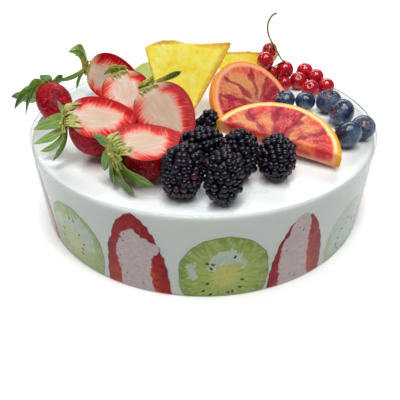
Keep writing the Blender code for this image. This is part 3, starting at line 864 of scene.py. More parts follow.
def strawberry_finishes():
    skin = Finish(
        "strawberry_skin", (178, 18, 28), Roughness=0.27, Subsurface_Weight=0.06, Subsurface_Scale=0.002,
        Specular_IOR_Level=0.09,
    )
    place = skin.place()
    creases_and_painted_light = place.scaled(0.8, 0.8, 1.6).noise(0.42, 3.0, 0.6, 1.2)
    colour = place.noise(0.09).ramp((0.3, 112, 0, 18), (0.5, 152, 0, 22), (0.72, 186, 8, 28))
    # Painted shade: the skin is darker in the dimples that hold the seeds.
    colour = skin.field("dip").between(0.25, 0.9, 0.0, 0.4).blend(colour, (116, 0, 18))
    # Painted shade in the creases, and a painted pink highlight on the ridges between them; the same noise
    # bumps the skin.
    colour = creases_and_painted_light.between(0.52, 0.64, 0.0, 0.7).blend(colour, (84, 0, 20))
    colour = creases_and_painted_light.between(0.34, 0.46, 0.6, 0.0).blend(colour, (214, 44, 66))
    skin.colour(skin.field("leafy").between(0.2, 1.0, 0.0, 0.75).blend(colour, (226, 130, 92)))
    skin.bump(creases_and_painted_light * 2.0 + place.noise(1.4, 2.0), 0.3, 0.6)

    face = Finish(
        "strawberry_cut_face", Roughness=0.42, Subsurface_Weight=0.25, Subsurface_Scale=0.002,
        Subsurface_Radius=(1.0, 0.35, 0.25), Specular_IOR_Level=0.06, Coat_Weight=0.03, Coat_Roughness=0.1,
    )
    along, side, rim = face.plan()
    edge = face.field("edge")
    lean = along - abs(side) * 0.45
    comb = spread(lean * 0.75, side * 0.09).noise(1.0, 2.0, 0.6)
    fine = spread(lean * 2.2, side * 0.25, 4.0).noise(1.0, 2.0)
    fibres = spread(along * 0.09, side * 0.36, 9.0).noise(1.0, 3.0, 0.55, 0.6)
    soft = face.place().noise(0.12)
    depth = rim + comb * 6.0 + fine * 1.6 + soft * 8.0 - 8.1
    colour = (depth * 0.1).ramp(
        (0.0, 168, 4, 18), (0.1, 192, 14, 22), (0.22, 208, 42, 34), (0.37, 216, 90, 74),
        (0.54, 226, 154, 142), (0.76, 222, 190, 176), (1.0, 210, 188, 168),
    )
    strokes = comb.between(0.5, 0.7, 0.0, 0.3) * edge.between(0.8, 2.4)
    inner = depth.between(2.6, 5.5)
    colour = strokes.blend(colour, (236, 164, 142))
    colour = (inner * fibres.between(0.44, 0.74, 0.0, 0.6)).blend(colour, (238, 224, 212))
    colour = (inner * fibres.between(0.26, 0.48, 0.35, 0.0)).blend(colour, (214, 156, 134))
    colour = (inner * face.field("dull")).blend(colour, (178, 140, 112))
    colour = (soft * 3.0 + along).between(2.2, 8.5, 0.6, 0.0).blend(colour, (222, 218, 176))
    face.colour(edge.between(0.15, 0.9, 0.9, 0.0).blend(colour, (166, 8, 20)))
    face.bump(comb * 0.6 + fine * 0.4, 0.5, 0.45)
    stops = ((0.35, 104, 16, 22), (0.5, 130, 36, 32), (0.65, 164, 80, 50))
    return [skin, face, speckled("strawberry_seed", (196, 150, 62), 0.35, 0.3, 1.0, *stops)]


def strawberry(number, berry, finishes):
    shape = Shape()
    rows, columns = 90, 100
    share = (1.0 - np.cos(np.linspace(0.0, math.pi, rows))) / 2.0
    reach = np.maximum(berry_radius(share), 1e-9)
    whole = berry.cut is None
    if whole:
        turn = np.tile(np.linspace(0.0, TURN, columns, endpoint=False), (rows, 1))
    else:
        over = np.arcsin(np.minimum(1.0, 2.0 * berry.cut / (berry.thickness * reach)))
        turn = np.linspace(math.pi - over, TURN + over, columns).T
    shares, turn = np.tile(share[:, None], (1, columns)).ravel(), turn.ravel()
    skin = berry_skin(berry, shares, turn)
    normals, _ = skin_ways(berry, shares, turn)

    # Seeds sit in even spirals over the skin, each in its own dimple.
    fine = np.linspace(0.0, 1.0, 2000)
    area = np.cumsum(berry_radius(fine) + 0.05)
    order = np.arange(BERRY_SEEDS)
    seed_share = np.interp((order + 0.5) / BERRY_SEEDS * area[-1], area, fine)
    seed_turn = order * GOLDEN + number
    spots = berry_skin(berry, seed_share, seed_turn)
    ways, along = skin_ways(berry, seed_share, seed_turn)
    keep = (seed_share > 0.07) & (seed_share < 0.985) & (whole | (spots[:, 2] < -0.7))
    spots, ways, along = spots[keep], ways[keep], along[keep]
    dip = np.exp(-((nearest(skin, spots) / 0.85) ** 2))
    fade = np.ones(len(skin)) if whole else np.clip(-skin[:, 2] / 1.2, 0.0, 1.0)
    fade *= np.clip(np.minimum(shares, 1.0 - shares) / 0.01, 0.0, 1.0)
    skin = skin + normals * ((0.28 * rough(skin, 9.0, number, 2) - 0.32 * dip) * fade)[:, None]
    leafy = np.clip(1.0 - shares / 0.07, 0.0, 1.0)
    shape.add(skin, grid(rows, columns, wrap=whole), 0, dip=dip, leafy=leafy, plan=skin * 0.0)

    if not whole:
        half = np.cos(over) * berry.width / 2.0 * reach
        across = np.linspace(-1.0, 1.0, 56)
        x = np.tile((berry.length * share)[:, None], (1, len(across)))
        flat = np.stack([x, half[:, None] * across[None, :]], -1)
        # The pale flesh runs right up to the leaves, and the red is widest at the tip and on one side.
        outline = np.concatenate([flat[:, 0], flat[:, -1]])
        flat = flat.reshape(-1, 2)
        rim = nearest(flat, outline[outline[:, 0] > 0.06 * berry.length])
        shown = rim - 3.4 * np.clip(flat[:, 0] / berry.length / 0.45 - 1.2, 0.0, 1.0)
        shown -= RED_SIDE.get(number, 2.2) * np.clip(flat[:, 1] / berry.width * 2.4, 0.0, 1.0)
        sag = 0.1 * rough(with_zero(flat), 6.0, number, 2) * np.minimum(rim, 1.0)
        sag -= 0.25 * (1.0 - np.exp(-rim / 2.0))
        fields = {"plan": np.c_[flat, shown], "edge": rim, "dull": DULL.get(number, 0.15)}
        shape.add(np.c_[flat, sag], grid(rows, len(across), wrap=False), 1, **fields)

    unit, quads = ball(8, 6)
    drop = unit * (0.5, 0.32, 0.2)
    drop[:, 1] *= 1.0 - 0.45 * unit[:, 0].clip(0.0)
    for spot, way, run in zip(spots, ways, along):
        run = run / np.linalg.norm(run)
        turn = np.stack([run, np.cross(way, run), way], 1)
        shape.add(spot - way * 0.2 + drop @ turn.T, quads, 2)
    piece = shape.make(f"strawberry_fruit_{number}", finishes, berry.frame)
    show(piece, f"strawberry_{number}")


def leaf_finish():
    leaf = Finish(
        "strawberry_leaf", (88, 128, 60), Roughness=0.42, Subsurface_Weight=0.4, Subsurface_Scale=0.0016,
        Subsurface_Radius=(0.8, 1.0, 0.35),
    )
    along, across, _ = leaf.plan()
    across = abs(across)
    place = leaf.place()
    patches = place.noise(0.35)
    veins = (along * 34.0 - across * 7.0).math("SINE")
    specks = place.noise(0.8, 3.0, 0.6).between(0.48, 0.62) * along.between(0.0, 0.45, 0.75, 0.0)
    colour = (along + patches * 0.5 - 0.25).ramp(
        (0.0, 202, 194, 104), (0.12, 166, 168, 74), (0.32, 118, 144, 66), (0.66, 68, 112, 48),
        (1.0, 34, 70, 30),
    )
    colour = across.between(0.02, 0.16, 0.75, 0.0).blend(colour, (164, 180, 112))
    colour = veins.between(0.75, 1.0, 0.0, 0.3).blend(colour, (150, 172, 104))
    leaf.colour(specks.blend(colour, (112, 96, 44)))
    leaf.bump(veins * 0.2 + patches, 0.3, 0.5)
    return leaf


def leaf_sheet(shape, path, width, blunt, across, back, wave, first, last, neck=1.0):
    """A thin folded leaf along a path, coloured from one share of the way to dark green to another.

    Its neck is the share of its width that it has where it leaves the hub.
    """
    share = np.linspace(0.0, 1.0, len(path))
    part = np.where(
        share < 0.45, 0.72 + 0.28 * (1.0 - ((0.45 - share) / 0.45) ** 2),
        1.0 - np.clip((share - 0.45) / 0.55, 0.0, 1.0) ** blunt,
    )
    part = part * (neck + (1.0 - neck) * np.clip((share - 0.25) / 0.35, 0.0, 1.0))
    count = 13
    lines = np.linspace(-1.0, 1.0, count)
    half = (width / 2.0 * part)[:, None, None] * lines[None, :, None] * across
    fold = (width * part)[:, None] * (0.2 * np.abs(lines) - 0.12)[None, :]
    lift = width * (wave * part)[:, None] * lines[None, :]
    sheet = path[:, None, :] + half + (fold + lift)[:, :, None] * back
    thick = 0.26 * (1.0 - 0.75 * np.abs(lines)[None, :]) * np.minimum(1.0, part * 3.0)[:, None]
    thick = thick + 0.1 * (np.abs(lines) < 0.1)[None, :] * np.minimum(1.0, part * 2.0)[:, None]
    thick = thick[:, :, None] * back
    rows = np.concatenate([sheet + thick, (sheet - thick)[:, ::-1]], 1)
    ends = np.stack([rows[0, :count], rows[0, : count - 1 : -1]], 0)
    rows[-1] = path[-1]
    tone = np.tile((first + (last - first) * share)[:, None], (1, 2 * count))
    plan = np.stack([tone, np.tile(np.r_[lines, lines[::-1]], (len(path), 1)), 0.0 * tone], -1)
    shape.add(rows, grid(len(path), 2 * count), 0, plan=plan)
    shape.add(ends, grid(2, count, wrap=False), 0, plan=0.0 * ends)


def berry_leaves(number, berry, finish):
    axes = np.array(berry.turn)
    back, side, up = -axes[:, 0], axes[:, 1], axes[:, 2]
    centre = np.array(Vector(berry.place)) + back * LEAF_CLEAR - up * (berry.cut or 0.0)
    share = np.linspace(0.0, 1.0, 20)
    draw = random.Random(number)
    shape = Shape()

    def turn_of(leaf):
        towards = np.array(leaf.tip) - centre
        return math.atan2(towards @ up, towards @ side)

    def out_at(angle):
        return side * math.cos(angle) + up * math.sin(angle)

    def wave():
        return draw.uniform(0.06, 0.12) * np.sin(share * draw.uniform(5.0, 8.0) + draw.uniform(0.0, 3.0))

    # The long leaves start from even turns about the hub, in the order of their tips.
    leaves = sorted(berry.leaves, key=turn_of)
    gaps = [(turn_of(leaf) - turn_of(leaves[index - 1])) % TURN for index, leaf in enumerate(leaves)]
    after_gap = max(range(len(leaves)), key=lambda index: (gaps[index], index))
    leaves = leaves[after_gap:] + leaves[:after_gap]
    wide = TURN - gaps[after_gap]
    step = min(wide / max(len(leaves) - 1, 1), math.radians(60.0))
    middle = turn_of(leaves[0]) + wide / 2.0
    for index, leaf in enumerate(leaves):
        angle = middle + (index - (len(leaves) - 1) / 2.0) * step
        out = out_at(angle)
        tip = np.array(leaf.tip, float)
        across = np.cross(tip - centre, back)
        across /= np.linalg.norm(across)
        if across @ (side * -math.sin(angle) + up * math.cos(angle)) < 0.0:
            across = -across
        start = centre + out * leaf.start
        bend = start + out * (0.55 * np.linalg.norm(tip - start)) + (0.0, 0.0, leaf.lift)
        first, last, neck = (-0.9, leaf.green, 0.3) if leaf.green else (0.05, berry.green, 1.0)
        path = bent(start, bend, tip, share)
        leaf_sheet(shape, path, leaf.width, 2.6, across, back, wave(), first, last, neck)
    # Short sepals lie over the end of the berry, cut off with it where it is cut.
    for index in range(SEPALS):
        out = out_at(TURN * (index + draw.uniform(-0.25, 0.25)) / SEPALS)
        reach = berry.ruff * draw.uniform(0.8, 1.08)
        if not (berry.cut is None or out @ up <= 0.0):
            reach = min(reach, (berry.cut + 2.4) / max(out @ up, 0.15))
        over = (1.6 * reach / berry.width) ** 2 * 4.5
        start = centre + out * 0.8 + back * draw.uniform(0.3, 1.1)
        tip = centre + out * reach - back * (over - draw.uniform(0.2, 1.4))
        path = bent(start, centre + out * (0.6 * reach) + back * draw.uniform(0.2, 1.2), tip, share)
        last = draw.uniform(0.2, 0.42) * berry.green
        width = max(2.4, 0.42 * berry.ruff)
        leaf_sheet(shape, path, width, 2.2, np.cross(out, back), back, wave(), 0.0, last)
    # Those on the cut side lie on the face.
    face = centre + up * (berry.cut or 0.0)
    for index in range(FACE_SEPALS if berry.cut is not None else 0):
        part = 2.0 * (index + draw.uniform(-0.35, 0.35)) / (FACE_SEPALS - 1.0) - 1.0
        across = side * part * berry.ruff * 0.8
        reach = berry.over * draw.uniform(0.45, 1.15)
        start = face + across * 0.6 - up * 2.0 + back * draw.uniform(0.0, 0.6)
        bend = face + across * 0.95 + up * draw.uniform(1.2, 2.0) - back * 0.2
        tip = face + across * draw.uniform(1.0, 1.3) + up * draw.uniform(0.5, 0.9)
        tip = tip - back * (reach + LEAF_CLEAR)
        last = draw.uniform(0.1, 0.34) * berry.green
        width = draw.uniform(0.24, 0.42) * berry.ruff
        leaf_sheet(shape, bent(start, bend, tip, share), width, 1.8, side, up, wave() * 1.5, 0.0, last)
    # The hub that they all leave, and the stub of its stalk
    unit, quads = ball(36, 18)
    wobble = 1.0 + 0.16 * rough(unit * 3.0, 1.0, number, 3)
    dome = unit * (1.0, 1.0, 0.4) * wobble[:, None] * (1.4 + 0.2 * berry.ruff)
    plan = np.stack([0.05 + 0.07 * unit[:, 0], np.full(len(unit), 0.6), 0.0 * unit[:, 0]], -1)
    shape.add(centre + dome @ np.stack([side, up, back], 0), quads, 0, plan=plan)
    stub = centre + np.outer(np.linspace(0.6, 2.6, 5), back) + np.outer(np.linspace(0.0, 0.3, 5) ** 2, side)
    tube(shape, stub, [1.15, 1.0, 0.95, 0.95, 0.8], 14, plan=(0.08, 0.6, 0.0))
    show(shape.make(f"strawberry_cap_{number}", [finish]), f"strawberry_leaves_{number}")


def strawberries():
    finishes, green = strawberry_finishes(), leaf_finish()
    for number, berry in enumerate(STRAWBERRIES, 1):
        strawberry(number, berry, finishes)
        berry_leaves(number, berry, green)


# Small whole fruit

# Place of the middle, azimuth and rise of its length, length, width
BRAMBLES = [
    ((1.8, -31.2, 57.6), 20, 60, 17.6, 11.6),
    ((-0.9, -55.3, 57.8), 5, 5, 23.0, 17.5),
    ((16.0, -67.5, 60.0), 80, 60, 23.5, 17.5),
    ((33.6, -66.5, 58.4), -100, -16, 23.0, 17.5),
    ((-9.4, -82.6, 60.8), 70, 72, 24.0, 18.4),
    ((8.0, -86.3, 60.1), 75, 62, 22.8, 16.6),
]
DRUPELET_PITCH = 3.05

# Middle, azimuth and rise of the crown, width
BLUEBERRIES = [
    ((50.3, 7.7, 55.0), 200, 50, 12.8),
    ((62.7, 7.0, 54.9), 60, 65, 12.4),
    ((76.5, 5.0, 55.4), 230, 60, 15.0),
    ((79.0, -13.0, 56.3), 200, 15, 15.2),
    ((75.0, -39.5, 55.9), 120, 20, 14.8),
    ((86.0, -30.0, 55.3), 265, 48, 13.2),
    ((50.7, -20.0, 55.6), 90, 30, 14.6),
]
BLUEBERRY_SQUASH = 0.86

# Middle, width, and which way the dried tip looks: to the right, away from the front, up
CURRANTS = [
    ((45.3, 50.5, 72.8), 9.4, (-0.2, 0.5, -0.8)),
    ((46.6, 44.6, 59.8), 8.2, (-0.4, -0.5, -0.6)),
    ((41.6, 41.0, 69.1), 10.4, (-0.3, -0.4, -0.9)),
    ((56.2, 46.6, 60.8), 10.8, (0.1, -0.2, -1.0)),
    ((55.4, 39.8, 53.8), 9.2, (0.6, -0.5, -0.6)),
    ((71.5, 53.0, 57.6), 10.6, (0.2, 0.3, -1.0)),
    ((65.8, 44.2, 54.2), 10.8, (-0.2, -0.8, 0.75)),
    ((77.4, 44.5, 56.4), 10.2, (0.55, -0.7, 0.55)),
    ((70.8, 29.2, 54.2), 10.8, (-0.35, -0.75, 0.65)),
    ((82.4, 33.8, 53.9), 10.0, (0.45, -0.65, 0.6)),
    ((51.0, 57.0, 54.0), 9.8, (-0.2, 0.8, -0.2)),
]
CURRANT_FULL = 1.08
STALK = [
    (46.8, 46, 97), (44.3, 46, 95.8), (42.2, 46.2, 92), (42, 46.6, 88), (43.2, 47.4, 83.5), (46, 47, 78.6),
    (49.6, 44.4, 73.4), (52.6, 43.6, 69), (55, 44.8, 67),
]
STALK_WIDTH = 1.3
# Which point of the stalk each of these currants hangs from
HANGING = {1: 6, 2: 8, 3: 5, 4: 8}

# Where thin glaze has run from the berries: its middle and its size across and deep
GLAZE = [
    ((2, -92.5), 8, 3.4), ((13, -90), 6, 4), ((-11, -91.5), 7, 3.2), ((24, -79), 5.5, 4), ((38, -77), 6, 3),
]
GLAZE_DEEP = 0.5


def standing(place, azimuth, rise):
    """The matrix that points +Z along an azimuth from +X and a rise from level, at a place."""
    turn = Matrix.Rotation(math.radians(azimuth), 3, "Z") @ Matrix.Rotation(math.radians(90.0 - rise), 3, "Y")
    return Matrix.Translation(place) @ turn.to_4x4()


def bramble_finishes():
    drupe = Finish(
        "drupelet", (22, 12, 26), Roughness=0.3, Specular_IOR_Level=0.1, Coat_Weight=0.5, Coat_Roughness=0.03
    )
    place = drupe.place()
    tone = drupe.field("tone") + place.noise(0.5, 2.0) * 0.3 - 0.15
    drupe.colour(tone.ramp((0.0, 5, 4, 15), (0.45, 14, 9, 28), (0.7, 36, 12, 36), (1.0, 70, 22, 44)))
    drupe.bump(place.noise(1.2, 2.0), 0.12, 0.3)
    core = speckled("bramble_core", (16, 8, 16), 0.5, 0.8, 2.0, (0.3, 10, 6, 12), (0.7, 34, 14, 26))
    hair = speckled("bramble_hair", (120, 84, 60), 0.5, 0.6, 1.0, (0.3, 96, 60, 44), (0.7, 150, 112, 78))
    return [drupe, core, hair]


def bramble_swell(level):
    """A bramble's half width as a share of its largest, at a level of -1 to 1 along it."""
    return (1.0 - np.abs(level) ** 2.6).clip(0.0) ** 0.5


def bramble(number, place, azimuth, rise, length, width, finishes):
    """Round drupelets in rows about a core, each a little different."""
    draw = random.Random(100 + number)
    shape = Shape()
    inner, half = width / 2.0 - 1.35, length / 2.0 - 1.3
    unit, quads = ball(24, 20)
    spokes = unit[:, :2] / np.hypot(unit[:, 0], unit[:, 1]).clip(1e-9)[:, None]
    core = np.c_[spokes * (bramble_swell(unit[:, 2]) * inner * 0.9)[:, None], unit[:, 2] * half * 0.92]
    shape.add(core, quads, 1, tone=0.0)
    levels = np.linspace(-1.0, 1.0, 400)
    steps = np.hypot(np.diff(levels * half), np.diff(bramble_swell(levels) * inner))
    run = np.concatenate([[0.0], np.cumsum(steps)])
    rows = max(4, round(run[-1] / (DRUPELET_PITCH * 0.9)))
    unit, quads = ball(14, 9)
    # The outer end of each is pressed in a little where the dried style sits.
    poke = np.exp(-((np.arccos(unit[:, 2].clip(-1.0, 1.0)) / 0.35) ** 2))
    for row in range(rows):
        level = np.interp((row + 0.5) / rows * run[-1], run, levels)
        spoke = bramble_swell(level) * inner
        slope = 1.15 * np.sign(level) * abs(level) ** 1.6 * inner / half
        round_it = max(1, round(TURN * spoke / DRUPELET_PITCH))
        for index in range(round_it):
            angle = TURN * (index + 0.5 * (row % 2) + draw.uniform(-0.3, 0.3)) / round_it
            spot = np.array([spoke * math.cos(angle), spoke * math.sin(angle), level * half])
            way = np.array([math.cos(angle), math.sin(angle), slope])
            way /= np.linalg.norm(way)
            size = DRUPELET_PITCH * draw.uniform(0.49, 0.68)
            spot = spot + way * draw.uniform(-0.5, 0.4) + (0.0, 0.0, draw.uniform(-0.5, 0.5))
            grain = unit * (1.0, 1.0, draw.uniform(0.95, 1.12)) * size
            grain[:, 2] -= 0.12 * poke
            grain = grain @ about(way, draw.uniform(0.0, 6.0)).T
            tone = draw.uniform(0.0, 0.55) if draw.random() > 0.05 else draw.uniform(0.65, 0.95)
            shape.add(spot + grain, quads, 0, tone=tone)
            if draw.random() < 0.3:
                tip = spot + way * (size + draw.uniform(0.5, 1.2))
                tip = tip + [draw.uniform(-0.5, 0.5) for _ in range(3)]
                path = np.linspace(spot + way * (size - 0.2), tip, 4)
                tube(shape, path, (0.07, 0.06, 0.05, 0.03), 5, 2, tone=0.0)
    piece = shape.make(f"bramble_fruit_{number}", finishes, standing(place, azimuth, rise), 1e-4)
    show(piece, f"bramble_{number}")


def blueberry_finish():
    finish = Finish("blueberry_skin", (30, 42, 74), Roughness=0.32, Coat_Weight=0.3, Coat_Roughness=0.06)
    place = finish.place()
    fine = place.noise(1.1)
    bloom = place.noise(0.16, 4.0, 0.6, 0.4) + fine * 0.2 - 0.1
    colour = bloom.ramp((0.31, 14, 22, 42), (0.47, 34, 50, 78), (0.6, 72, 94, 122), (0.74, 116, 138, 160))
    dry = place.noise(0.9).between(0.35, 0.65).blend((52, 40, 56), (122, 96, 118))
    finish.colour(finish.field("crown").between(0.35, 0.95, 0.0, 0.8).blend(colour, dry))
    finish.drive("Roughness", bloom.between(0.4, 0.75, 0.26, 0.5))
    finish.bump(fine, 0.08, 0.3)
    return finish


def blueberry(number, place, azimuth, rise, width, finish):
    """A squashed ball with a five-pointed crown round a sunken disc."""
    around = 80
    falls = np.concatenate([np.linspace(0.0, 0.75, 34), np.linspace(0.75, math.pi, 33)[1:]])
    points, fall, turn = sphere(falls, around)
    points *= width / 2.0
    lobes = 0.5 + 0.5 * np.cos(5.0 * turn + number)
    rim = np.exp(-(((fall - 0.36 - 0.12 * lobes) / 0.075) ** 2)) * (0.35 + 0.65 * lobes)
    bowl = 1.0 / (1.0 + np.exp((fall - 0.33 - 0.06 * lobes) / 0.03))
    points[..., 2] += width * (0.06375 * rim - 0.07 * bowl + 0.025 * np.exp(-((fall / 0.07) ** 2)))
    points[..., :2] *= (1.0 + 0.16 * rim)[..., None]
    flat = points.reshape(-1, 3)
    flat = flat * (1.0 + 0.016 * rough(flat, 5.0, number, 2))[:, None] * (1.0, 1.0, BLUEBERRY_SQUASH)
    shape = Shape()
    shape.add(flat, grid(len(falls), around), 0, crown=np.clip(bowl + 0.9 * rim * (fall < 0.5), 0.0, 1.0))
    piece = shape.make(f"blueberry_fruit_{number}", [finish], standing(place, azimuth, rise), 1e-4)
    show(piece, f"blueberry_{number}")


def glaze():
    """Shallow clear pools on the cream."""
    finish = Finish("glaze")
    tint = finish.place().noise(0.25, 2.0).ramp((0.35, 251, 253, 254), (0.65, 255, 255, 255))
    finish.clear(tint, 0.06, 0.4, 0.012)
    shape = Shape()
    turn = np.linspace(0.0, TURN, 64, endpoint=False)
    for number, (middle, wide, tall) in enumerate(GLAZE):
        ring = np.stack([np.cos(turn), np.sin(turn), 0.0 * turn], -1)
        ring *= (1.0 + 0.22 * rough(ring * 2.0, 1.0, number, 3))[:, None] * (wide, tall, 1.0)
        rows = []
        for share in np.linspace(0.0, 1.0, 14):
            uneven = 1.0 + 0.3 * rough(ring * share, 4.0, number, 2)
            swell = GLAZE_DEEP * math.sqrt(1.0 - share**2.5) * uneven
            rows.append(np.c_[ring[:, :2] * share, ring[:, 2] * share + swell])
        rows += [ring * (1.0, 1.0, 0.0), ring * 0.0]
        shape.add(np.concatenate(rows) + (*middle, CREAM_TOP + 0.05), grid(len(rows), len(turn)))
    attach(shape.make("clear_glaze", [finish], None, 1e-4), "root")


def currant_finishes():
    skin = Finish(
        "currant_skin", (186, 12, 34), Roughness=0.2, Subsurface_Weight=0.3, Subsurface_Scale=0.004,
        Subsurface_Radius=(1.0, 0.15, 0.12), Coat_Weight=0.3, Coat_Roughness=0.05,
    )
    level, turn, _ = skin.plan()
    lines = (turn * 11.0).math("COSINE").between(0.86, 1.0) * abs(level).between(0.55, 1.0, 0.45, 1.0)
    colour = skin.place().noise(0.3).ramp((0.3, 140, 0, 22), (0.55, 186, 2, 34), (0.75, 210, 16, 46))
    skin.colour((lines * 0.22).blend(colour, (224, 84, 88)))
    dry = speckled("dried_tip", (92, 70, 48), 0.6, 1.1, 2.0, (0.3, 70, 34, 28), (0.7, 128, 84, 58))
    stops = ((0.3, 112, 92, 46), (0.5, 128, 122, 58), (0.7, 150, 146, 78))
    stem = speckled("currant_stem", (120, 112, 56), 0.45, 0.25, 3.0, *stops)
    stem.bump(stem.place().noise(0.25), 0.2, 0.4)
    return skin, dry, stem


def currant(number, place, width, tip_way, finishes):
    """A ball with a dimple at each end, and the dried strands of its tip."""
    width = width * CURRANT_FULL
    draw = random.Random(300 + number)
    unit, quads = ball(56, 36)
    fall = np.arccos(unit[:, 2].clip(-1.0, 1.0))
    turn = np.arctan2(unit[:, 1], unit[:, 0])
    points = unit * width / 2.0
    points[:, 2] -= 0.05 * width * np.exp(-((fall / 0.22) ** 2))
    points[:, 2] += 0.04 * width * np.exp(-(((math.pi - fall) / 0.2) ** 2))
    shape = Shape()
    shape.add(points, quads, 0, plan=np.stack([unit[:, 2], turn, 0.0 * turn], -1))
    top = width / 2.0 - 0.05 * width
    for strand in range(8):
        angle = TURN * strand / 8 + draw.uniform(-0.2, 0.2)
        reach = draw.uniform(0.1, 0.6)
        levels = ((0.3, top - 0.25), (0.42, top + 0.35), (0.4 + reach * 0.5, top + 0.5 + reach * 0.4))
        path = [(out * math.cos(angle), out * math.sin(angle), height) for out, height in levels]
        tube(shape, path, (0.2, 0.16, 0.06), 6, 1)
    matrix = np.eye(4)
    matrix[:3, :3] = about(tip_way)
    matrix[:3, 3] = place
    piece = shape.make(f"currant_fruit_{number}", finishes, matrix, 1e-4)
    show(piece, f"currant_{number}")


def curve_through(points, count):
    """A smooth run of points through these ones."""
    points = np.asarray(points, float)
    ends = np.concatenate([[2.0 * points[0] - points[1]], points, [2.0 * points[-1] - points[-2]]])
    found = []
    for index in range(len(points) - 1):
        a, b, c, d = ends[index : index + 4]
        for share in np.linspace(0.0, 1.0, count, endpoint=False):
            found.append(0.5 * (
                2.0 * b + (c - a) * share + (2.0 * a - 5.0 * b + 4.0 * c - d) * share**2
                + (3.0 * b - a - 3.0 * c + d) * share**3
            ))
    return np.array([*found, points[-1]])


def stalk(finish):
    shape = Shape()
    path = curve_through(STALK, 8)
    radii = STALK_WIDTH / 2.0 * np.linspace(0.95, 0.7, len(path))
    radii[:3] *= (1.15, 1.1, 1.05)
    tube(shape, path, radii, 12)
    knot, quads = ball(10, 8)
    for number, joint in HANGING.items():
        place, width, tip_way = CURRANTS[number - 1]
        way = np.array(tip_way) / np.linalg.norm(tip_way)
        start = np.array(STALK[joint], float)
        end = np.array(place) - way * (width / 2.0 - 0.25)
        twig = curve_through([start, (start + end) / 2.0 - way, end], 6)
        tube(shape, twig, np.linspace(0.5, 0.38, len(twig)), 8)
        shape.add(start + knot * 0.75, quads)
    show(shape.make("currant_stem", [finish], None, 1e-4), "currant_stalk")


def small_fruit():
    finishes = bramble_finishes()
    for number, sizes in enumerate(BRAMBLES, 1):
        bramble(number, *sizes, finishes)
    skin = blueberry_finish()
    for number, sizes in enumerate(BLUEBERRIES, 1):
        blueberry(number, *sizes, skin)
    *finishes, stem = currant_finishes()
    for number, sizes in enumerate(CURRANTS, 1):
        currant(number, *sizes, finishes)
    stalk(stem)
    glaze()


# Cut fruit


def facing(place, azimuth, rise, spin):
    """The matrix of a slab whose face looks along an azimuth from the front and a rise from level."""
    turn = Matrix.Rotation(math.radians(azimuth), 4, "Z") @ Matrix.Rotation(math.radians(90.0 - rise), 4, "X")
    return Matrix.Translation(Vector(place)) @ (turn @ Matrix.Rotation(math.radians(spin), 4, "Z"))


# Radius, how far over the middle it is cut, thickness, rounding, frame, where the membranes meet, their
# turns, how red each segment is, how far the membranes wander, how pink the pith is and how much more peel
# it has
Citrus = namedtuple("Citrus", "radius cut thick rounding frame meeting membranes tones wander pink peel")
CITRUS = [
    Citrus(
        29.5, -3.0, 5.0, 0.9, facing((31.6, 1.9, 54.5), 40.8, 43.9, 0.0), (3.0, 0.0),
        (-4, 12, 36, 72, 118, 151, 174), (0.5, 0.9, 0.7, 0.3, 0.2, 0.35, 0.6, 0.7), 0.2, 1.0, 0.0,
    ),
    Citrus(
        33.3, 6.0, 9.0, 2.6, facing((32.5, -56.0, 58.9), -11.5, 73.2, -16.2), (1.4, 0.8),
        (14, 43, 76, 107, 141, 166), (0.78, 0.5, 0.3, 0.75, 0.5, 0.15, 0.5), 0.12, 0.15, 0.8,
    ),
]


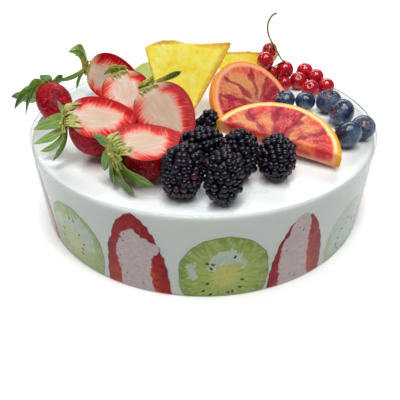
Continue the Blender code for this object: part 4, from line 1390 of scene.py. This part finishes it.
def citrus_finish():
    finish = Finish(
        "blood_citrus", Roughness=0.36, Subsurface_Weight=0.2, Subsurface_Scale=0.003,
        Subsurface_Radius=(1.0, 0.4, 0.2), Specular_IOR_Level=0.15, Coat_Weight=0.06, Coat_Roughness=0.08,
    )
    reach, angle, depth = finish.plan()
    side, pink = finish.field("side"), finish.field("pink")
    place = finish.place()
    streaks = spread(reach * 0.16, angle * 9.0).noise(1.0, 3.0, 0.6, 0.5)
    sacs = spread(reach * 0.22, angle * 13.0).cells(1.0)
    patches = place.noise(0.11)
    redness = finish.field("tone") + patches * 1.4 + streaks * 0.7 + place.noise(0.9, 3.0, 0.65) * 0.9 - 1.58
    colour = (redness + reach.between(8.0, 28.0, -0.08, 0.1)).ramp(
        (0.1, 218, 144, 92), (0.34, 212, 108, 84), (0.52, 202, 74, 74), (0.7, 182, 36, 64),
        (0.95, 134, 10, 52),
    )
    warm = depth.between(4.5, 11.0, 0.7, 0.0) * patches.between(0.44, 0.6)
    colour = warm.blend(colour, (226, 60, 42))
    colour = sacs.between(0.1, 0.75, 0.18, 0.0).blend(colour, (238, 186, 136))
    # Painted highlights: pale specks stand for glints of light on the juice sacs.
    specks = spread(reach * 0.8, angle * 26.0).noise(1.0, 3.0, 0.65).between(0.55, 0.72, 0.0, 0.42)
    colour = specks.blend(colour, (250, 222, 196))
    ragged = place.noise(0.16, 4.0, 0.65) * -9.0 + finish.field("gap") + 3.3
    colour = ragged.between(-0.6, 1.6, 0.8, 0.0).blend(colour, (150, 14, 54))
    pale = reach.between(1.0, 9.0, 0.35, 0.0) * sacs.between(0.2, 0.7, 1.0, 0.3)
    colour = pale.blend(colour, (238, 206, 176))
    # The cut side is given brighter colours: partly its own orange and red, partly painted light against the
    # shade it lies in.
    side_tone_and_painted_light = place.noise(0.22).ramp((0.34, 252, 136, 84), (0.46, 242, 84, 58), (0.6, 210, 44, 54))
    colour = (side * 0.85).blend(colour, side_tone_and_painted_light)
    colour = (finish.field("low") * 0.8).blend(colour, (255, 214, 190))
    depth = depth + patches - 0.5
    colour = (depth.between(2.8, 5.0, 1.0, 0.0) * pink).blend(colour, (240, 150, 118))
    # On the cut side the pith is orange, partly its own colour, partly painted light against its shade.
    pith = (side * 0.8).blend(pink.blend((254, 220, 160), (246, 180, 136)), (244, 160, 92))
    colour = depth.between(2.6, 4.2, 1.0, 0.0).blend(colour, pith)
    peel = place.noise(0.3, 2.0).between(0.3, 0.7).blend((238, 146, 24), (250, 184, 48))
    peel = (pink * 0.6).blend(peel, (242, 138, 70))
    finish.colour(depth.between(1.1, 2.0, 1.0, 0.0).blend(colour, peel))
    flesh = depth.between(2.9, 4.2)
    pores = place.cells(0.9) * (flesh * -1.0 + 1.0)
    finish.bump((streaks * 0.8 - sacs * 0.5) * flesh + pores * 0.3, 0.6, 0.6)
    return finish


def citrus_slice(number, citrus, finish):
    """A half slice whose flesh swells between its membranes."""
    radius, cut, thick = citrus.radius, citrus.cut, citrus.thick
    outline = even(arc(radius, math.asin(cut / radius), 200), 240)
    points, quads = slab(outline, (0.0, cut + 0.42 * (radius - cut)), thick, citrus.rounding, 44)
    depth = radius - polar(points)[0]
    reach, angle = polar(points, citrus.meeting)
    angle = np.where(angle < -math.pi / 2.0, angle + TURN, angle)
    walls = np.radians(np.array(citrus.membranes, float))
    wavy = angle + citrus.wander * rough(points * (1.0, 1.0, 0.0), 8.0, number + 5, 2)
    away = np.clip(np.abs(wavy[:, None] - walls[None, :]), 0.0, math.pi / 2.0)
    gap = (np.abs(np.sin(away)) * reach[:, None]).min(1)
    side = np.sign(points[:, 2]) * (np.abs(points[:, 2]) > thick / 2.0 - 0.5)
    flesh = 1.0 / (1.0 + np.exp((2.9 - depth) / 0.3))
    swell = flesh * (0.2 * (1.0 - np.exp(-((gap / 1.6) ** 2))) - 0.3)
    swell += flesh * 0.12 * rough(np.stack([reach * 0.35, angle * 14.0, side], -1), 1.0, number, 2)
    points[:, 2] += swell * side - thick / 2.0
    cut_side = np.clip((2.4 - (points[:, 1] - cut)) / 2.0, 0.0, 1.0)
    low = cut_side * np.clip(-points[:, 2] / thick * 2.0 - 1.0, 0.0, 1.0)
    shape = Shape()
    shape.add(
        points, quads, 0, plan=np.stack([reach, angle, depth - citrus.peel], -1), gap=gap,
        tone=np.array(citrus.tones)[np.searchsorted(walls, wavy)], side=cut_side, low=low, pink=citrus.pink,
    )
    show(shape.make(f"citrus_half_{number}", [finish], citrus.frame), f"citrus_slice_{number}")


def pineapple_finish():
    finish = Finish(
        "pineapple_flesh", Roughness=0.3, Subsurface_Weight=0.3, Subsurface_Scale=0.004,
        Subsurface_Radius=(1.0, 0.7, 0.15), Coat_Weight=0.25, Coat_Roughness=0.15,
    )
    reach, angle, skin = finish.plan()
    place = finish.place()
    fibres = spread(reach * 0.07, angle * 26.0).noise(1.0, 3.0, 0.6)
    cells = spread(reach * 0.16, angle * 7.5).cells(1.0)
    blots = place.noise(0.34, 3.0, 0.6)
    colour = (fibres * 0.16 + place.noise(0.1) * 0.44 + blots * 0.4).ramp(
        (0.36, 250, 214, 44), (0.45, 255, 232, 66), (0.53, 255, 240, 96), (0.64, 255, 248, 150)
    )
    colour = cells.between(0.0, 0.55, 0.2, 0.0).blend(colour, (255, 244, 140))
    worn = skin + place.noise(0.5, 3.0, 0.6) * 1.3 - 0.65
    colour = worn.between(0.1, 0.7, 0.0, 0.85).blend(colour, (212, 166, 54))
    # Darker amber along the edges, widest on the right: partly the flesh's own colour at its cut edges,
    # partly painted shade of the wedge's right flank.
    edge = blots * 1.6 + finish.field("edge")
    colour = edge.between(1.1, 2.4, 0.75, 0.0).blend(colour, (226, 168, 44))
    pits = place.noise(0.75, 3.0, 0.6).between(0.52, 0.62) * skin.between(0.5, 0.95) * 0.9
    finish.colour(pits.blend(colour, (116, 68, 40)))
    finish.bump(fibres * 0.4 + blots * 0.6, 0.5, 0.5)
    return finish


# Half the width of the foot and of the top, height, how round the top is, how much further the left side
# stands out, and the frame
PINEAPPLES = [
    ((3.5, 25.5, 39.5, 2.0, 7.0), facing((-8.5, -2.7, 53.8), 0.0, 28.0, 0.0)),
    ((12.0, 24.0, 19.5, 1.5, 0.0), facing((29.5, 51.0, 51.9), 0.0, 16.0, 0.0)),
]
# How much higher than its curve each point of the first wedge's wide end stands, from right to left
WEDGE_RISES = (0.9, 0.4, -0.8, -1.4, -1.5, -0.7, 0.8, 1.0, 0.2, -1.4)
WEDGE_THICK = 10.0


def pineapple_outline(half_foot, half_top, height, bulge, spare, rises):
    """A wedge of pineapple on its narrow end, its wide end a little round and uneven.

    Its left side stands out by the spare width.
    """
    across = 1.0 - 2.0 * np.arange(len(rises)) / (len(rises) - 1)
    top = np.stack([half_top * across, height - bulge * across**2 + rises], -1)
    side = half_foot + 0.45 * (half_top - half_foot)
    return [(half_foot, 0.0), (side, height * 0.42), *top, (-side - spare, height * 0.42), (-half_foot, 0.0)]


def pineapple(number, sizes, frame_matrix, rises, finish):
    half_foot, half_top, height, bulge, _ = sizes
    outline = even(pineapple_outline(*sizes, rises), 220)
    for _ in range(3):
        outline = (np.roll(outline, 1, 0) + outline * 2.0 + np.roll(outline, -1, 0)) / 4.0
    top = outline[:, 1] > height - bulge - 1.5
    outline[top, 1] += 0.45 * rough(with_zero(outline), 3.4, number, 3)[top]
    points, quads = slab(outline, (0.0, height * 0.55), WEDGE_THICK, 0.8, 40)
    # Fibres run from where the wedge's sides would meet.
    apex = -half_foot * height / (half_top - half_foot)
    reach = np.hypot(points[:, 0], points[:, 1] - apex)
    angle = np.arctan2(points[:, 0], points[:, 1] - apex)
    line = height - bulge + bulge * (1.0 - (points[:, 0] / half_top) ** 2)
    skin = np.clip(1.0 - (line - points[:, 1]) / 2.4, 0.0, 1.0)
    side = np.sign(points[:, 2]) * (np.abs(points[:, 2]) > WEDGE_THICK / 2.0 - 0.4)
    grain = rough(np.stack([reach * 0.2, angle * 22.0, side * 3.0], -1), 1.0, number, 3)
    points[:, 2] += side * (0.1 * grain - 0.12) - WEDGE_THICK / 2.0
    # Nearness to the edge, stretched on the right, where the painted shade of the flank is widest.
    edge = nearest(points[:, :2], outline) * (1.0 - 0.65 * np.clip(points[:, 0] / half_top * 2.5, 0.0, 1.0))
    shape = Shape()
    shape.add(points, quads, 0, plan=np.stack([reach, angle, skin], -1), edge=edge)
    show(shape.make(f"pineapple_wedge_{number}", [finish], frame_matrix), f"pineapple_{number}")


KIWI_PIECE_RADIUS = 17.0
KIWI_PIECE_THICK = 8.0
KIWI_PIECE_SEEDS = 13
KIWI_PIECE_FRAME = facing((-33.5, 39.5, 51.6), 0.0, 18.0, 0.0)


def kiwi_chunk_finish():
    finish = Finish(
        "kiwi_chunk", Roughness=0.28, Subsurface_Weight=0.35, Subsurface_Scale=0.004, Coat_Weight=0.3,
        Coat_Roughness=0.12,
    )
    reach, angle, _ = finish.plan()
    rays = spread(reach * 0.1, angle * 12.0).noise(1.0)
    far = reach * (1.0 / KIWI_PIECE_RADIUS) + rays * 0.16 - 0.08
    finish.colour(far.ramp(
        (0.0, 240, 244, 200), (0.25, 236, 242, 190), (0.4, 206, 228, 146), (0.8, 212, 232, 154),
        (1.0, 190, 216, 120),
    ))
    finish.bump(rays, 0.4, 0.5)
    return finish


def kiwi_chunk():
    radius, thick, seeds = KIWI_PIECE_RADIUS, KIWI_PIECE_THICK, KIWI_PIECE_SEEDS
    dark = speckled("kiwi_chunk_seed", (40, 34, 30), 0.3, 0.8, 1.0, (0.3, 26, 22, 22), (0.7, 60, 50, 42))
    points, quads = slab(even(arc(radius, 0.0, 120), 200), (0.0, 7.0), thick, 0.8, 40)
    points[:, 2] -= thick / 2.0
    reach, angle = polar(points)
    shape = Shape()
    shape.add(points, quads, 0, plan=np.stack([reach, angle, radius - reach], -1))
    draw = random.Random(61)
    unit, seed_quads = ball(8, 6)
    for face in (0.0, -thick):
        for step in range(seeds):
            turn = math.pi * (step + 0.5 + draw.uniform(-0.3, 0.3)) / seeds
            away = radius * draw.uniform(0.3, 0.44)
            spot = (away * math.cos(turn), away * math.sin(turn), face)
            shape.add(spun(unit * (1.0, 0.55, 0.2), turn) + spot, seed_quads, 1)
    piece = shape.make("kiwi_half_slice", [kiwi_chunk_finish(), dark], KIWI_PIECE_FRAME)
    show(piece, "kiwi_piece")


def cut_fruit():
    finish = citrus_finish()
    for number, citrus in enumerate(CITRUS, 1):
        citrus_slice(number, citrus, finish)
    draw = random.Random(7)
    flesh = pineapple_finish()
    rises = (WEDGE_RISES, [draw.uniform(-0.5, 0.5) for _ in range(10)])
    for number, (sizes, frame_matrix) in enumerate(PINEAPPLES, 1):
        pineapple(number, sizes, frame_matrix, rises[number - 1], flesh)
    kiwi_chunk()


camera()
studio()
cream_cake()
collar()
wall_slices()
strawberries()
small_fruit()
cut_fruit()
